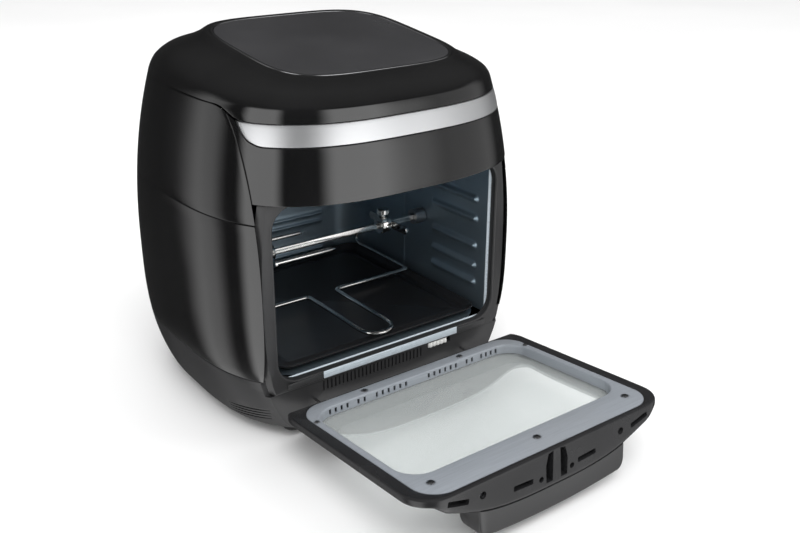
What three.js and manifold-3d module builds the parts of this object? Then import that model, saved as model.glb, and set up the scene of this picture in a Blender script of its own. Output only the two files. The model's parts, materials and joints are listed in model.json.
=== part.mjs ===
// A counter-top air fryer oven with a drop-down glass door, a rotisserie and a touch panel on top.
// Millimetres, +Z up, the door faces -Y. Heights are measured from the table.

import * as THREE from 'three';
import { mergeVertices } from 'three/addons/utils/BufferGeometryUtils.js';
import Module from 'manifold-3d';

const wasm = await Module();
wasm.setup();

// Driving dimensions ------------------------------------------------------------------------

const GAP = 0.3; // clearance between neighbouring pieces
const WALL = 2.5; // moulded plastic wall

const FOOT = { height: 10, radius: 10, x: 98, y: 98 };
const BODY = {
  halfWidth: 160,
  halfDepth: 162,
  exponent: 3,
  widest: 136,
  top: 326,
  topInset: 29.6,
  topPower: 2.2,
  bottomInset: 19,
  bottomPower: 3.27,
};
const BASE_SEAM = 63; // base pan to lower shell
const WAIST_SEAM = 205; // lower shell to upper shell
const LID_SEAM = 294; // upper shell to top cover
const BAND = { low: 267.4, high: 284.4 };
const PANEL = { halfWidth: 93, halfDepth: 88, exponent: 4.1, y: -23.4, height: 325.9, tiltDeg: 7.4 };

const OPENING = { halfWidth: 120, low: 57.5, high: 216, radius: 14 };
const FASCIA_LOW = 222;
const JAMB = 134; // half-width of the gap in the shells that the door closes
const FRAME_Y = -117; // front face of the bezel around the opening
const CAVITY = { halfWidth: 118, back: 120, front: -109, floor: 58, ceiling: 218, sheet: 1.2 };
const FAN_Y = 5; // the vertical axis of heater, fan and motor
const HEAT = { hole: 80, coil: 60, wire: 3.2, shroud: 86 };
const PROBE = { x: 70, z: 196 };
const GLAND = { x: 62, z: 40, radius: 9, bore: 4 };

const HINGE = { y: -137.5, z: 25.5, openDeg: 85, pin: 3, bore: 3.3, x: 84, ear: 8 };
const DOOR = {
  halfWidth: 130.6,
  low: 17.5,
  high: 219.5,
  radius: 26,
  inset: 5,
  face: -119, // inner face of the closed door
};
const SHEET = { halfWidth: 119.5, low: 32.5, high: 214.5, radius: 22, thick: 1.2 };
const WINDOW = { halfWidth: 113, low: 44.5, high: 183.5, radius: 22, depth: 9 };
const OUTER_GLASS = { halfWidth: 108, low: 62, high: 176, radius: 18, thick: 2.4 };
const HANDLE = { halfWidth: 78, low: 194, high: 219, front: -171, wall: 4, corner: 7 };
const LATCH = { x: 7.5, width: 5, y: -134, depth: 14, tip: 217.2, carrier: 226 };

const SPIT = { y: -8, z: 132, side: 6, end: 114.5 };
const FORK = { x: 62, hub: 9, hubLength: 14, reach: 28, tine: 60, wire: 2 };
const TRAY = { halfWidth: 113, front: -107, back: 112, low: 59.5, high: 66, sheet: 1 };
const TOOL = { wire: 2.2, halfWidth: 109, crossY: 4, hookY: 96, gripY: -104, gripHalf: 16 };
const RELEASE = { x: 54, width: 22, low: 43.4, high: 48.2, ridges: 5 };

const RING_STEPS = 48; // sides of every body outline

// Finishes ----------------------------------------------------------------------------------

const FINISH = {
  glossBlack: [0x101112, 0.18, 0],
  matteBlack: [0x1b1c1d, 0.5, 0],
  satinGrey: [0x3a3b3d, 0.4, 0],
  touchGlass: [0x3d3e40, 0.2, 0.1],
  brushedSilver: [0xd8dadb, 0.28, 1],
  doorSheet: [0x99a1ab, 0.4, 0.9],
  cavitySteel: [0x7c93a4, 0.3, 0.9],
  chrome: [0xd4d6d8, 0.12, 1],
  clearGlass: [0xdfe9e6, 0.05, 0],
  nonStick: [0x141516, 0.45, 0.2],
  heater: [0x4a4038, 0.6, 0.6],
  steel: [0xa9adb1, 0.35, 1],
  board: [0x1f5a3a, 0.6, 0],
  rubber: [0x161616, 0.8, 0],
  whitePlastic: [0xe9e9e6, 0.4, 0],
};

// Helpers -----------------------------------------------------------------------------------

function bare(geometry) {
  const copy = geometry.clone();
  copy.deleteAttribute('normal');
  copy.deleteAttribute('uv');
  return mergeVertices(copy, 1e-4);
}

function solid(geometry) {
  const merged = bare(geometry);
  return new wasm.Manifold(
    new wasm.Mesh({
      numProp: 3,
      vertProperties: new Float32Array(merged.attributes.position.array),
      triVerts: new Uint32Array(merged.index.array),
    }),
  );
}

function geometryOf(shape) {
  const mesh = shape.getMesh();
  const geometry = new THREE.BufferGeometry();
  const points = new Float32Array(mesh.vertProperties);
  geometry.setAttribute('position', new THREE.BufferAttribute(points, 3));
  geometry.setIndex(new THREE.BufferAttribute(new Uint32Array(mesh.triVerts), 1));
  geometry.computeVertexNormals();
  return geometry;
}

function piece(name, shape, finish) {
  const geometry = shape.isBufferGeometry ? shape : geometryOf(shape);
  const [color, roughness, metalness] = FINISH[finish];
  const material = new THREE.MeshStandardMaterial({ color, roughness, metalness });
  if (finish === 'clearGlass') {
    material.transparent = true;
    material.opacity = 0.3;
  }
  const mesh = new THREE.Mesh(geometry, material);
  mesh.name = name;
  return mesh;
}

function group(...children) {
  const holder = new THREE.Group();
  holder.add(...children);
  return holder;
}

// A box between two values on each axis.
function box(x, y, z) {
  const geometry = new THREE.BoxGeometry(x[1] - x[0], y[1] - y[0], z[1] - z[0]);
  geometry.translate((x[0] + x[1]) / 2, (y[0] + y[1]) / 2, (z[0] + z[1]) / 2);
  return solid(geometry);
}

// A cylinder along an axis between two values on it; the other two coordinates come in X, Y, Z order.
function rod(axis, radius, from, to, [a, b], sides = 24) {
  const geometry = new THREE.CylinderGeometry(radius, radius, to - from, sides);
  const middle = (from + to) / 2;
  if (axis === 'x') {
    geometry.rotateZ(Math.PI / 2);
    geometry.translate(middle, a, b);
  } else if (axis === 'y') {
    geometry.translate(a, middle, b);
  } else {
    geometry.rotateX(Math.PI / 2);
    geometry.translate(a, b, middle);
  }
  return solid(geometry);
}

function roundedOutline(halfWidth, low, high, radius) {
  const outline = new THREE.Shape();
  outline.moveTo(-halfWidth + radius, low);
  outline.lineTo(halfWidth - radius, low);
  outline.absarc(halfWidth - radius, low + radius, radius, -Math.PI / 2, 0, false);
  outline.lineTo(halfWidth, high - radius);
  outline.absarc(halfWidth - radius, high - radius, radius, 0, Math.PI / 2, false);
  outline.lineTo(-halfWidth + radius, high);
  outline.absarc(-halfWidth + radius, high - radius, radius, Math.PI / 2, Math.PI, false);
  outline.lineTo(-halfWidth, low + radius);
  outline.absarc(-halfWidth + radius, low + radius, radius, Math.PI, Math.PI * 1.5, false);
  return outline;
}

// A rounded rectangle standing in the XZ plane and reaching from one Y to another.
function uprightPlate(halfWidth, low, high, radius, [back, front]) {
  const geometry = new THREE.ExtrudeGeometry(roundedOutline(halfWidth, low, high, radius), {
    depth: Math.abs(front - back),
    bevelEnabled: false,
    curveSegments: 6,
  });
  geometry.rotateX(Math.PI / 2);
  geometry.translate(0, Math.max(front, back), 0);
  return solid(geometry);
}

// A rounded rectangle lying in the XY plane between two heights.
function flatPlate(halfWidth, front, back, radius, [low, high]) {
  const geometry = new THREE.ExtrudeGeometry(roundedOutline(halfWidth, front, back, radius), {
    depth: high - low,
    bevelEnabled: false,
    curveSegments: 6,
  });
  geometry.translate(0, 0, low);
  return solid(geometry);
}

// A round wire along a smooth or straight-sided path.
function wire(points, radius, { steps = 40, sides = 8, tension = 0.5 } = {}) {
  const path = new THREE.CatmullRomCurve3(
    points.map((p) => new THREE.Vector3(...p)),
    false,
    'catmullrom',
    tension,
  );
  const section = new THREE.Shape();
  section.absarc(0, 0, radius, 0, Math.PI * 2, false);
  return solid(
    new THREE.ExtrudeGeometry(section, { steps, extrudePath: path, curveSegments: sides }),
  );
}

function superellipse(halfWidth, halfDepth, exponent, count = RING_STEPS) {
  const points = [];
  for (let i = 0; i < count; i += 1) {
    const angle = (i / count) * Math.PI * 2;
    const c = Math.cos(angle);
    const s = Math.sin(angle);
    const x = halfWidth * Math.sign(c) * Math.abs(c) ** (2 / exponent);
    const y = halfDepth * Math.sign(s) * Math.abs(s) ** (2 / exponent);
    points.push([x, y]);
  }
  return points;
}

// A solid through a stack of rings, closed with a flat cap at each end.
function loft(rings) {
  const count = rings[0].length;
  const vertices = rings.flat(2);
  const index = [];
  for (let r = 0; r + 1 < rings.length; r += 1) {
    for (let i = 0; i < count; i += 1) {
      const a = r * count + i;
      const b = r * count + ((i + 1) % count);
      index.push(a, b, b + count, a, b + count, a + count);
    }
  }
  const last = (rings.length - 1) * count;
  for (let i = 1; i + 1 < count; i += 1) {
    index.push(0, i + 1, i, last, last + i, last + i + 1);
  }
  const geometry = new THREE.BufferGeometry();
  geometry.setAttribute('position', new THREE.Float32BufferAttribute(vertices, 3));
  geometry.setIndex(index);
  return solid(geometry);
}

// How far the body's outline has drawn in at a height.
function bodyInset(z) {
  const { widest, top, topInset, topPower, bottomInset, bottomPower } = BODY;
  if (z > widest) {
    return topInset * ((z - widest) / (top - widest)) ** topPower;
  }
  return bottomInset * ((widest - z) / (widest - FOOT.height)) ** bottomPower;
}

function bodyRing(z, inset) {
  const drawn = bodyInset(z) + inset;
  const outline = superellipse(BODY.halfWidth - drawn, BODY.halfDepth - drawn, BODY.exponent);
  return outline.map(([x, y]) => [x, y, z]);
}

// The body's own form between two heights, drawn in all round by an inset.
function bodyBlock(low, high, inset, levels = 4) {
  const rings = [];
  for (let i = 0; i <= levels; i += 1) {
    rings.push(bodyRing(low + ((high - low) * i) / levels, inset));
  }
  return loft(rings);
}

function bodyWall(low, high, levels = 4) {
  return bodyBlock(low, high, 0, levels).subtract(bodyBlock(low - 1, high + 1, WALL, levels));
}

// Housing -----------------------------------------------------------------------------------

const RECESS_WALL_TOP = 48;
const RECESS_Y = -116; // wall of the base behind the door

function basePan() {
  const top = BASE_SEAM - GAP / 2;
  const doorGap = box([-JAMB, JAMB], [-200, RECESS_Y], [0, 100]);
  const innerGap = box([-JAMB - 3, JAMB + 3], [-200, RECESS_Y + 3], [0, 100]);
  const outer = bodyBlock(FOOT.height, top, 0, 4).subtract(doorGap);
  const hollow = bodyBlock(FOOT.height + 3, top + 1, 3, 4).subtract(innerGap);
  const frontTrim = box([-JAMB - 4, JAMB + 4], [-200, RECESS_Y + 4], [RECESS_WALL_TOP, 100]);
  const { x, width, low } = RELEASE;
  const slot = box([x - width / 2 - 0.5, x + width / 2 + 5], [-120, -110], [low - 0.5, 60]);
  const gland = rod('y', 9.4, 130, 170, [GLAND.x, GLAND.z]);
  return outer.subtract(hollow).subtract(frontTrim).subtract(slot).subtract(gland);
}

function lowerShell() {
  const wall = bodyWall(BASE_SEAM + GAP / 2, WAIST_SEAM - GAP / 2);
  return wall.subtract(box([-JAMB, JAMB], [-200, -80], [0, 300]));
}

const VENT = { halfWidth: 52, low: 226, high: 270 };

function upperShell() {
  const wall = bodyWall(WAIST_SEAM + GAP / 2, LID_SEAM - GAP / 2);
  const front = box([-JAMB, JAMB], [-200, -80], [0, BAND.high]);
  const back = box([-VENT.halfWidth, VENT.halfWidth], [80, 200], [VENT.low, VENT.high]);
  return wall.subtract(front).subtract(back);
}

function rearVentCover() {
  const { halfWidth, low, high } = VENT;
  let cover = bodyWall(low + GAP, high - GAP, 3).intersect(
    box([GAP - halfWidth, halfWidth - GAP], [80, 200], [0, 400]),
  );
  for (let z = low + 6; z < high - 6; z += 6) {
    cover = cover.subtract(box([-halfWidth + 8, halfWidth - 8], [80, 200], [z, z + 3]));
  }
  return cover;
}

// Front parts end a little inside the gap in the shells.
function frontStrip(low, high, floor) {
  const outer = bodyBlock(low, high, 0, 2);
  const hollow = bodyBlock(low + floor, high + 1, WALL, 2);
  const limits = box([GAP - JAMB, JAMB - GAP], [-200, -80 - GAP], [0, 400]);
  return outer.subtract(hollow).intersect(limits);
}

function frontFascia() {
  const behind = bodyBlock(FASCIA_LOW - 1, BAND.low, WALL + GAP, 2).intersect(
    box([-JAMB, JAMB], [FRAME_Y + 2.5, 0], [0, 400]),
  );
  let fascia = frontStrip(FASCIA_LOW, BAND.low - GAP, WALL).subtract(behind);
  for (const side of [-1, 1]) {
    const x = side * LATCH.x;
    const half = LATCH.width / 2 + 0.7;
    const y = [LATCH.y - LATCH.depth / 2 - 1, LATCH.y + LATCH.depth / 2 + 1];
    fascia = fascia.subtract(box([x - half, x + half], y, [200, 230]));
  }
  return fascia;
}

function silverBand() {
  return frontStrip(BAND.low, BAND.high - GAP, -1);
}

function latchHooks() {
  const y = [LATCH.y - LATCH.depth / 2, LATCH.y + LATCH.depth / 2];
  let hooks = box([-LATCH.x - 8, LATCH.x + 8], y, [LATCH.carrier, LATCH.carrier + 5]);
  for (const side of [-1, 1]) {
    const x = side * LATCH.x;
    const prong = new THREE.Shape();
    prong.moveTo(y[0] + 5, LATCH.tip);
    prong.lineTo(y[0] + 9, LATCH.tip);
    prong.lineTo(y[1], LATCH.tip + 6);
    prong.lineTo(y[1], LATCH.carrier + 1);
    prong.lineTo(y[0], LATCH.carrier + 1);
    prong.lineTo(y[0], LATCH.tip + 3);
    const blade = new THREE.ExtrudeGeometry(prong, { depth: LATCH.width, bevelEnabled: false });
    blade.rotateY(Math.PI / 2);
    blade.rotateX(Math.PI / 2);
    blade.translate(x - LATCH.width / 2, 0, 0);
    hooks = hooks.add(solid(blade));
  }
  return hooks;
}

// The top cover's shoulder: draw-in from the body's side, and height, in an S from lid seam to panel.
const SHOULDER = [
  [0, 0],
  [0.05, 0.16],
  [0.16, 0.36],
  [0.38, 0.56],
  [0.64, 0.7],
  [0.84, 0.84],
  [0.94, 0.94],
  [1, 1],
];
const PANEL_SLOPE = Math.tan((PANEL.tiltDeg * Math.PI) / 180);
const PANEL_RIM = 4; // cover left outside the trim ring
const PANEL_SEAT = 3; // depth of the seat that holds the glass

function shoulderRing([drawn, rise], inset, lowZ, drop) {
  const edge = bodyInset(LID_SEAM) + inset;
  const wide = [BODY.halfWidth - edge, BODY.halfDepth - edge];
  const narrow = [PANEL.halfWidth + PANEL_RIM - inset, PANEL.halfDepth + PANEL_RIM - inset];
  const halfWidth = wide[0] + (narrow[0] - wide[0]) * drawn;
  const halfDepth = wide[1] + (narrow[1] - wide[1]) * drawn;
  const exponent = BODY.exponent + (PANEL.exponent - BODY.exponent) * drawn;
  const y0 = PANEL.y * drawn;
  const high = PANEL.height - drop;
  return superellipse(halfWidth, halfDepth, exponent).map(([x, y]) => [
    x,
    y + y0,
    lowZ + (high - lowZ) * rise + PANEL_SLOPE * y * rise,
  ]);
}

function topCover() {
  const low = LID_SEAM + GAP / 2;
  const outer = loft(SHOULDER.map((step) => shoulderRing(step, 0, low, 0)));
  const inner = loft(SHOULDER.map((step) => shoulderRing(step, 3, low - 2, PANEL_SEAT + 3)));
  const seat = new THREE.Group();
  seat.position.set(0, PANEL.y, PANEL.height);
  seat.rotation.x = (PANEL.tiltDeg * Math.PI) / 180;
  seat.updateMatrixWorld();
  const outline = superellipse(PANEL.halfWidth + 0.3, PANEL.halfDepth + 0.3, PANEL.exponent);
  const cutter = geometryOf(loft([-PANEL_SEAT, 20].map((z) => outline.map(([x, y]) => [x, y, z]))));
  cutter.applyMatrix4(seat.matrixWorld);
  return outer.subtract(inner).subtract(solid(cutter));
}

function panelLayer(inset, low, high) {
  const { halfWidth, halfDepth, exponent } = PANEL;
  const outline = superellipse(halfWidth - inset, halfDepth - inset, exponent);
  return loft([low, high].map((z) => outline.map(([x, y]) => [x, y, z])));
}

const TRIM_WIDTH = 2.2;

function panelTrimRing() {
  return panelLayer(0, GAP - PANEL_SEAT, 0.4).subtract(panelLayer(TRIM_WIDTH, -10, 10));
}

function controlGlass() {
  return panelLayer(TRIM_WIDTH + GAP, GAP - PANEL_SEAT, 0.1);
}

function controlBoard() {
  let board = box([-70, 70], [-60, 60], [-13, -11.4]);
  const parts = [
    [-50, -40, 18, 10],
    [-10, -30, 30, 16],
    [40, -40, 16, 16],
    [30, 30, 40, 12],
    [-40, 30, 24, 20],
  ];
  for (const [x, y, w, d] of parts) {
    board = board.add(box([x - w / 2, x + w / 2], [y - d / 2, y + d / 2], [-12, -8]));
  }
  return board;
}

function panelGroup() {
  const holder = group(
    piece('control_glass', controlGlass(), 'touchGlass'),
    piece('panel_trim_ring', panelTrimRing(), 'chrome'),
    piece('control_board', controlBoard(), 'board'),
  );
  holder.position.set(0, PANEL.y, PANEL.height);
  holder.rotation.x = (PANEL.tiltDeg * Math.PI) / 180;
  return holder;
}

function openingBezel() {
  const { halfWidth, low, high, radius } = OPENING;
  const y = [FRAME_Y, FRAME_Y + 6];
  const outer = uprightPlate(JAMB - 1, RECESS_WALL_TOP + GAP, FASCIA_LOW - GAP, 10, y);
  const hole = uprightPlate(halfWidth, low, high, radius, [FRAME_Y - 5, FRAME_Y + 10]);
  const latchRoom = box([-LATCH.x - 9, LATCH.x + 9], [-130, -100], [FASCIA_LOW - 1, 260]);
  const room = bodyBlock(RECESS_WALL_TOP, FASCIA_LOW, WALL + 1.2);
  return outer.subtract(hole).subtract(latchRoom).intersect(room);
}

function floorStrip() {
  return box([-76, 76], [FRAME_Y - 1.6, FRAME_Y - GAP], [50.5, 57.2]);
}

function cavityLiner() {
  const { halfWidth, back, front, floor, ceiling, sheet } = CAVITY;
  const radius = 31;
  const outside = [floor - sheet, ceiling + sheet];
  const outer = flatPlate(halfWidth + sheet, front, back + sheet, radius, outside);
  const inner = flatPlate(halfWidth, front - 60, back, radius - sheet, [floor, ceiling]);
  const squareFront = box([-halfWidth - sheet, halfWidth + sheet], [front, 0], outside);
  const flangePlate = uprightPlate(128, 52, 221, 12, [front - 1.4, front]);
  const shell = outer.add(squareFront).add(flangePlate).subtract(inner);
  const fanHole = rod('z', HEAT.hole, ceiling - 5, ceiling + 5, [0, FAN_Y], 40);
  const driveHole = rod('x', 5.4, 110, 130, [SPIT.y, SPIT.z]);
  const probeHole = rod('y', 2.6, 110, 130, [PROBE.x, PROBE.z]);
  return shell.subtract(fanHole).subtract(driveHole).subtract(probeHole);
}

const RUNNER_RIBS = [85, 103, 124, 152, 172];

function rackRunner(side) {
  const across = (depth) => {
    const reach = [CAVITY.halfWidth - depth, CAVITY.halfWidth - GAP];
    return reach.map((x) => x * side).sort((a, b) => a - b);
  };
  let runner = box(across(1.5), [-101, -21], [78, 180]);
  for (const z of RUNNER_RIBS) {
    runner = runner.add(box(across(4), [-100, -23], [z - 2, z + 2]));
  }
  return runner;
}

function heaterGuard() {
  const z = CAVITY.ceiling - GAP;
  let guard = rod('z', HEAT.hole + 5, z - 1.2, z, [0, FAN_Y], 40);
  const slots = 16;
  for (let i = 0; i < slots; i += 1) {
    const slot = new THREE.BoxGeometry(48, 6, 5);
    slot.translate(48, 0, 0);
    slot.rotateZ((i / slots) * Math.PI * 2);
    slot.translate(0, FAN_Y, z);
    guard = guard.subtract(solid(slot));
  }
  return guard;
}

function heaterElement() {
  const turns = 2;
  const perTurn = 12;
  const points = [[-HEAT.coil - 14, FAN_Y - 6, 248]];
  for (let i = 0; i <= turns * perTurn; i += 1) {
    const angle = Math.PI + (i / perTurn) * Math.PI * 2;
    const height = 224 + (i / perTurn) * 8;
    points.push([HEAT.coil * Math.cos(angle), FAN_Y + HEAT.coil * Math.sin(angle), height]);
  }
  points.push([-HEAT.coil - 14, FAN_Y + 10, 250]);
  return wire(points, HEAT.wire, { steps: 56, sides: 3 });
}

function airShroud() {
  const low = CAVITY.ceiling + CAVITY.sheet + GAP;
  const r = HEAT.shroud;
  const profile = [
    [r - 1.5, low],
    [r + 8, low],
    [r + 8, low + 1.5],
    [r, low + 1.5],
    [r, 252],
    [r - 6, 257],
    [9, 257],
    [9, 255.5],
    [r - 7, 255.5],
    [r - 1.5, 251],
    [r - 1.5, low],
  ];
  const lathe = new THREE.LatheGeometry(profile.map((p) => new THREE.Vector2(...p)), 28);
  lathe.rotateX(Math.PI / 2);
  lathe.translate(0, FAN_Y, 0);
  return solid(lathe);
}

function bladedWheel(radius, low, high, count, hub) {
  const middle = (low + high) / 2;
  let wheel = rod('z', hub, low, high, [0, FAN_Y]);
  for (let i = 0; i < count; i += 1) {
    const blade = new THREE.BoxGeometry(radius - hub + 2, 1.4, (high - low) * 1.2);
    blade.rotateX(0.7);
    blade.translate((radius + hub) / 2 - 1, 0, middle);
    blade.rotateZ((i / count) * Math.PI * 2);
    blade.translate(0, FAN_Y, 0);
    wheel = wheel.add(solid(blade));
  }
  return wheel.subtract(rod('z', 3 + GAP, low - 5, high + 5, [0, FAN_Y]));
}

function fanMotor() {
  const body = rod('z', 28, 272, 296, [0, FAN_Y], 32);
  const nose = rod('z', 9, 268, 273, [0, FAN_Y]);
  const feet = box([-36, 36], [FAN_Y - 6, FAN_Y + 6], [272, 275]);
  return body.add(nose).add(feet).subtract(rod('z', 3.6, 260, 293, [0, FAN_Y]));
}

function powerBoard() {
  let board = box([-50, 50], [138, 139.6], [90, 180]);
  const parts = [
    [-30, 110, 22, 24],
    [5, 120, 26, 30],
    [32, 150, 16, 16],
    [-20, 160, 30, 14],
  ];
  for (const [x, z, w, h] of parts) {
    board = board.add(box([x - w / 2, x + w / 2], [128, 138.5], [z - h / 2, z + h / 2]));
  }
  return board;
}

function thermalSensor() {
  const probe = rod('y', 2.2, 104, 128, [PROBE.x, PROBE.z], 16);
  const collar = rod('y', 5, CAVITY.back + CAVITY.sheet + GAP, 130, [PROBE.x, PROBE.z], 16);
  return probe.add(collar);
}

function rotisserieMotor() {
  const body = rod('x', 22, 122, 142, [SPIT.y, SPIT.z], 32);
  const ears = box([122, 124], [SPIT.y - 30, SPIT.y + 30], [SPIT.z - 6, SPIT.z + 6]);
  return body.add(ears).subtract(rod('x', 4.5, 120, 134, [SPIT.y, SPIT.z]));
}

function spitBearing() {
  const { y, z } = SPIT;
  const inner = -CAVITY.halfWidth + GAP;
  const plate = box([inner, inner + 4], [y - 11, y + 11], [z - 14, z + 8]);
  const slot = box([inner - 1, inner + 5], [y - 3.4, y + 3.4], [z, z + 20]);
  return plate.subtract(slot).subtract(rod('x', 3.4, inner - 1, inner + 5, [y, z]));
}

function doorSwitch() {
  const body = box([-104, -84], [-106, -94], [224, 234]);
  return body.add(box([-96, -92], [-109, -105], [227, 231]));
}

function hingeBracket(side) {
  const x = [HINGE.x - HINGE.ear / 2, HINGE.x + HINGE.ear / 2].map((v) => v * side).sort((a, b) => a - b);
  const eye = rod('x', 8, x[0], x[1], [HINGE.y, HINGE.z]);
  const arm = box(x, [HINGE.y, RECESS_Y - GAP], [HINGE.z - 8, HINGE.z + 6]);
  const bore = rod('x', HINGE.bore, x[0] - 5, x[1] + 5, [HINGE.y, HINGE.z]);
  return eye.add(arm).subtract(bore);
}

function cordGland() {
  const body = rod('y', GLAND.radius, 135, 158, [GLAND.x, GLAND.z]);
  const flange = rod('y', GLAND.radius + 3, 135, 138, [GLAND.x, GLAND.z]);
  return body.add(flange).subtract(rod('y', GLAND.bore, 130, 160, [GLAND.x, GLAND.z]));
}

function foot() {
  return rod('z', FOOT.radius, 0, FOOT.height - GAP, [0, 0]);
}

function feet() {
  const corners = { front_left: [-1, -1], front_right: [1, -1], rear_left: [-1, 1], rear_right: [1, 1] };
  return Object.entries(corners).map(([where, [sx, sy]]) => {
    const mesh = piece(`foot_${where}`, foot(), 'rubber');
    mesh.position.set(sx * FOOT.x, sy * FOOT.y, 0);
    return mesh;
  });
}

function releaseThumb() {
  const { x, width, low, high, ridges } = RELEASE;
  const groove = 1.2;
  let thumb = box([x - width / 2, x + width / 2], [-118.2, -112], [low, high]);
  for (let i = 1; i < ridges; i += 1) {
    const at = x - width / 2 + (width / ridges) * i;
    thumb = thumb.subtract(box([at - groove / 2, at + groove / 2], [-119, -117.4], [low - 1, high + 1]));
  }
  return thumb;
}

// Door, in its closed place ------------------------------------------------------------------

const PANEL_SCREWS = [
  ['front_left', -104, 195.5, 3.2],
  ['front_middle', 0, 197.5, 3.2],
  ['front_right', 104, 195.5, 3.2],
  ['side_left', -116.9, 61, 2.2],
  ['side_right', 116.9, 61, 2.2],
  ['hinge_left', -54, 38.5, 3],
  ['hinge_right', 54, 38.5, 3],
];
const SCREW_SHANK = 1.2;

function screwHoles(y) {
  return PANEL_SCREWS.map(([, x, z]) => rod('y', SCREW_SHANK + 0.3, y[0], y[1], [x, z], 12));
}

function cutAll(shape, cutters) {
  return cutters.reduce((rest, cutter) => rest.subtract(cutter), shape);
}

function doorFrame() {
  const { halfWidth, low, high, radius, inset, face } = DOOR;
  const outline = uprightPlate(halfWidth, low, high, radius, [-200, face]);
  const crowned = bodyBlock(low - 1, high + 1, inset, 6).intersect(outline);
  const rim = uprightPlate(halfWidth, SHEET.low, high, radius, [face - 7, face]);
  const well = uprightPlate(118.4, 38, 190, 24, [-134, face]);
  let frame = crowned.add(rim).add(well);
  const seat = uprightPlate(SHEET.halfWidth + GAP, SHEET.low - 1, SHEET.high + GAP, SHEET.radius, [
    face - SHEET.thick - GAP,
    face + 1,
  ]);
  const hole = uprightPlate(115, 42.3, 185.7, 23, [-132.4, face + 1]);
  const { halfWidth: glass, low: glassLow, high: glassHigh, radius: glassRadius } = OUTER_GLASS;
  const through = uprightPlate(glass + GAP, glassLow - GAP, glassHigh + GAP, glassRadius, [-200, face]);
  frame = frame.subtract(seat).subtract(hole).subtract(through);
  frame = frame.subtract(hingeRelief());
  for (const side of [-1, 1]) {
    const notch = [HINGE.x - HINGE.ear / 2 - 1, HINGE.x + HINGE.ear / 2 + 1].map((v) => v * side);
    notch.sort((a, b) => a - b);
    frame = frame.subtract(box(notch, [-150, -100], [0, HINGE.z + 13]));
    const pocket = [LATCH.x - LATCH.width / 2 - 0.8, LATCH.x + LATCH.width / 2 + 0.8].map((v) => v * side);
    pocket.sort((a, b) => a - b);
    frame = frame.subtract(box(pocket, [-146, -100], [SHEET.high + 1, 230]));
  }
  const pinHole = rod('x', HINGE.bore, -98, 98, [HINGE.y, HINGE.z]);
  const middle = rod('x', HINGE.bore + 2, -70, 70, [HINGE.y, HINGE.z]);
  frame = frame.subtract(pinHole.subtract(middle));
  return cutAll(frame, screwHoles([-126, -118]));
}

// Room behind the hinge line, so that the door's lower edge rolls past the base.
function hingeRelief() {
  const block = box([-150, 150], [HINGE.y, -100], [0, HINGE.z + 6]);
  return block.subtract(rod('x', 12, -150, 150, [HINGE.y, HINGE.z], 32));
}

function sheetOutline(inset, y) {
  const { halfWidth, low, high, radius } = SHEET;
  return uprightPlate(halfWidth - inset, low + inset, high - inset, radius - inset, y);
}

function innerPanel() {
  const { face } = DOOR;
  const { halfWidth, low, high, radius, depth } = WINDOW;
  const sheet = sheetOutline(0, [face - SHEET.thick, face]);
  const collar = uprightPlate(halfWidth + SHEET.thick, low - SHEET.thick, high + SHEET.thick, radius, [
    face - depth + GAP,
    face,
  ]);
  const hole = uprightPlate(halfWidth, low, high, radius, [-200, face + 1]);
  return cutAll(sheet.add(collar).subtract(hole), screwHoles([-126, -118]));
}

function innerGlass() {
  const { halfWidth, low, high, radius, depth } = WINDOW;
  const y = DOOR.face - depth;
  return uprightPlate(halfWidth + 1.4, low - 1.4, high + 1.4, radius, [y - 2.5, y]);
}

function glassSeal() {
  const { halfWidth, low, high, radius, depth } = WINDOW;
  const y = DOOR.face - depth - 2.5 - GAP;
  const outer = uprightPlate(halfWidth + 1.4, low - 1.4, high + 1.4, radius, [y - 1.2, y]);
  const inner = OUTER_GLASS.halfWidth + 1;
  const lip = [OUTER_GLASS.low - 1, OUTER_GLASS.high + 1];
  return outer.subtract(uprightPlate(inner, lip[0], lip[1], radius - 3, [-200, 0]));
}

function outerGlass() {
  const { halfWidth, low, high, radius, thick } = OUTER_GLASS;
  const skin = bodyBlock(low - 2, high + 2, DOOR.inset).subtract(
    bodyBlock(low - 3, high + 3, DOOR.inset + thick),
  );
  return skin.intersect(uprightPlate(halfWidth, low, high, radius, [-200, -100]));
}

function doorHandle() {
  const { halfWidth, low, high, front, wall } = HANDLE;
  const door = bodyBlock(low - 3, high + 3, DOOR.inset - GAP, 1);
  const block = gripBlock(halfWidth, front, [low, high]);
  const pocket = gripBlock(halfWidth - wall * 2, front + wall, [low - 1, high - wall]);
  return block.subtract(pocket).subtract(door);
}

// A bar whose front stands out in its middle.
function gripBlock(halfWidth, front, [low, high]) {
  const bulge = 4;
  const { corner } = HANDLE;
  const outline = new THREE.Shape();
  outline.moveTo(-halfWidth, -130);
  outline.lineTo(-halfWidth, front + bulge + corner);
  outline.quadraticCurveTo(-halfWidth, front + bulge, corner - halfWidth, front + bulge - 1);
  outline.quadraticCurveTo(0, front - bulge + 1, halfWidth - corner, front + bulge - 1);
  outline.quadraticCurveTo(halfWidth, front + bulge, halfWidth, front + bulge + corner);
  outline.lineTo(halfWidth, -130);
  const block = new THREE.ExtrudeGeometry(outline, {
    depth: high - low,
    bevelEnabled: false,
    curveSegments: 12,
  });
  block.translate(0, 0, low);
  return solid(block);
}

function panelScrew(x, z, head) {
  const y = DOOR.face + GAP;
  return rod('y', head, y, y + 1, [x, z], 16).add(rod('y', SCREW_SHANK, y - 6, y + 0.5, [x, z], 12));
}

function hingePin(side) {
  const x = [HINGE.x - 12, HINGE.x + 12].map((v) => v * side).sort((a, b) => a - b);
  return rod('x', HINGE.pin, x[0], x[1], [HINGE.y, HINGE.z]);
}

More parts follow.
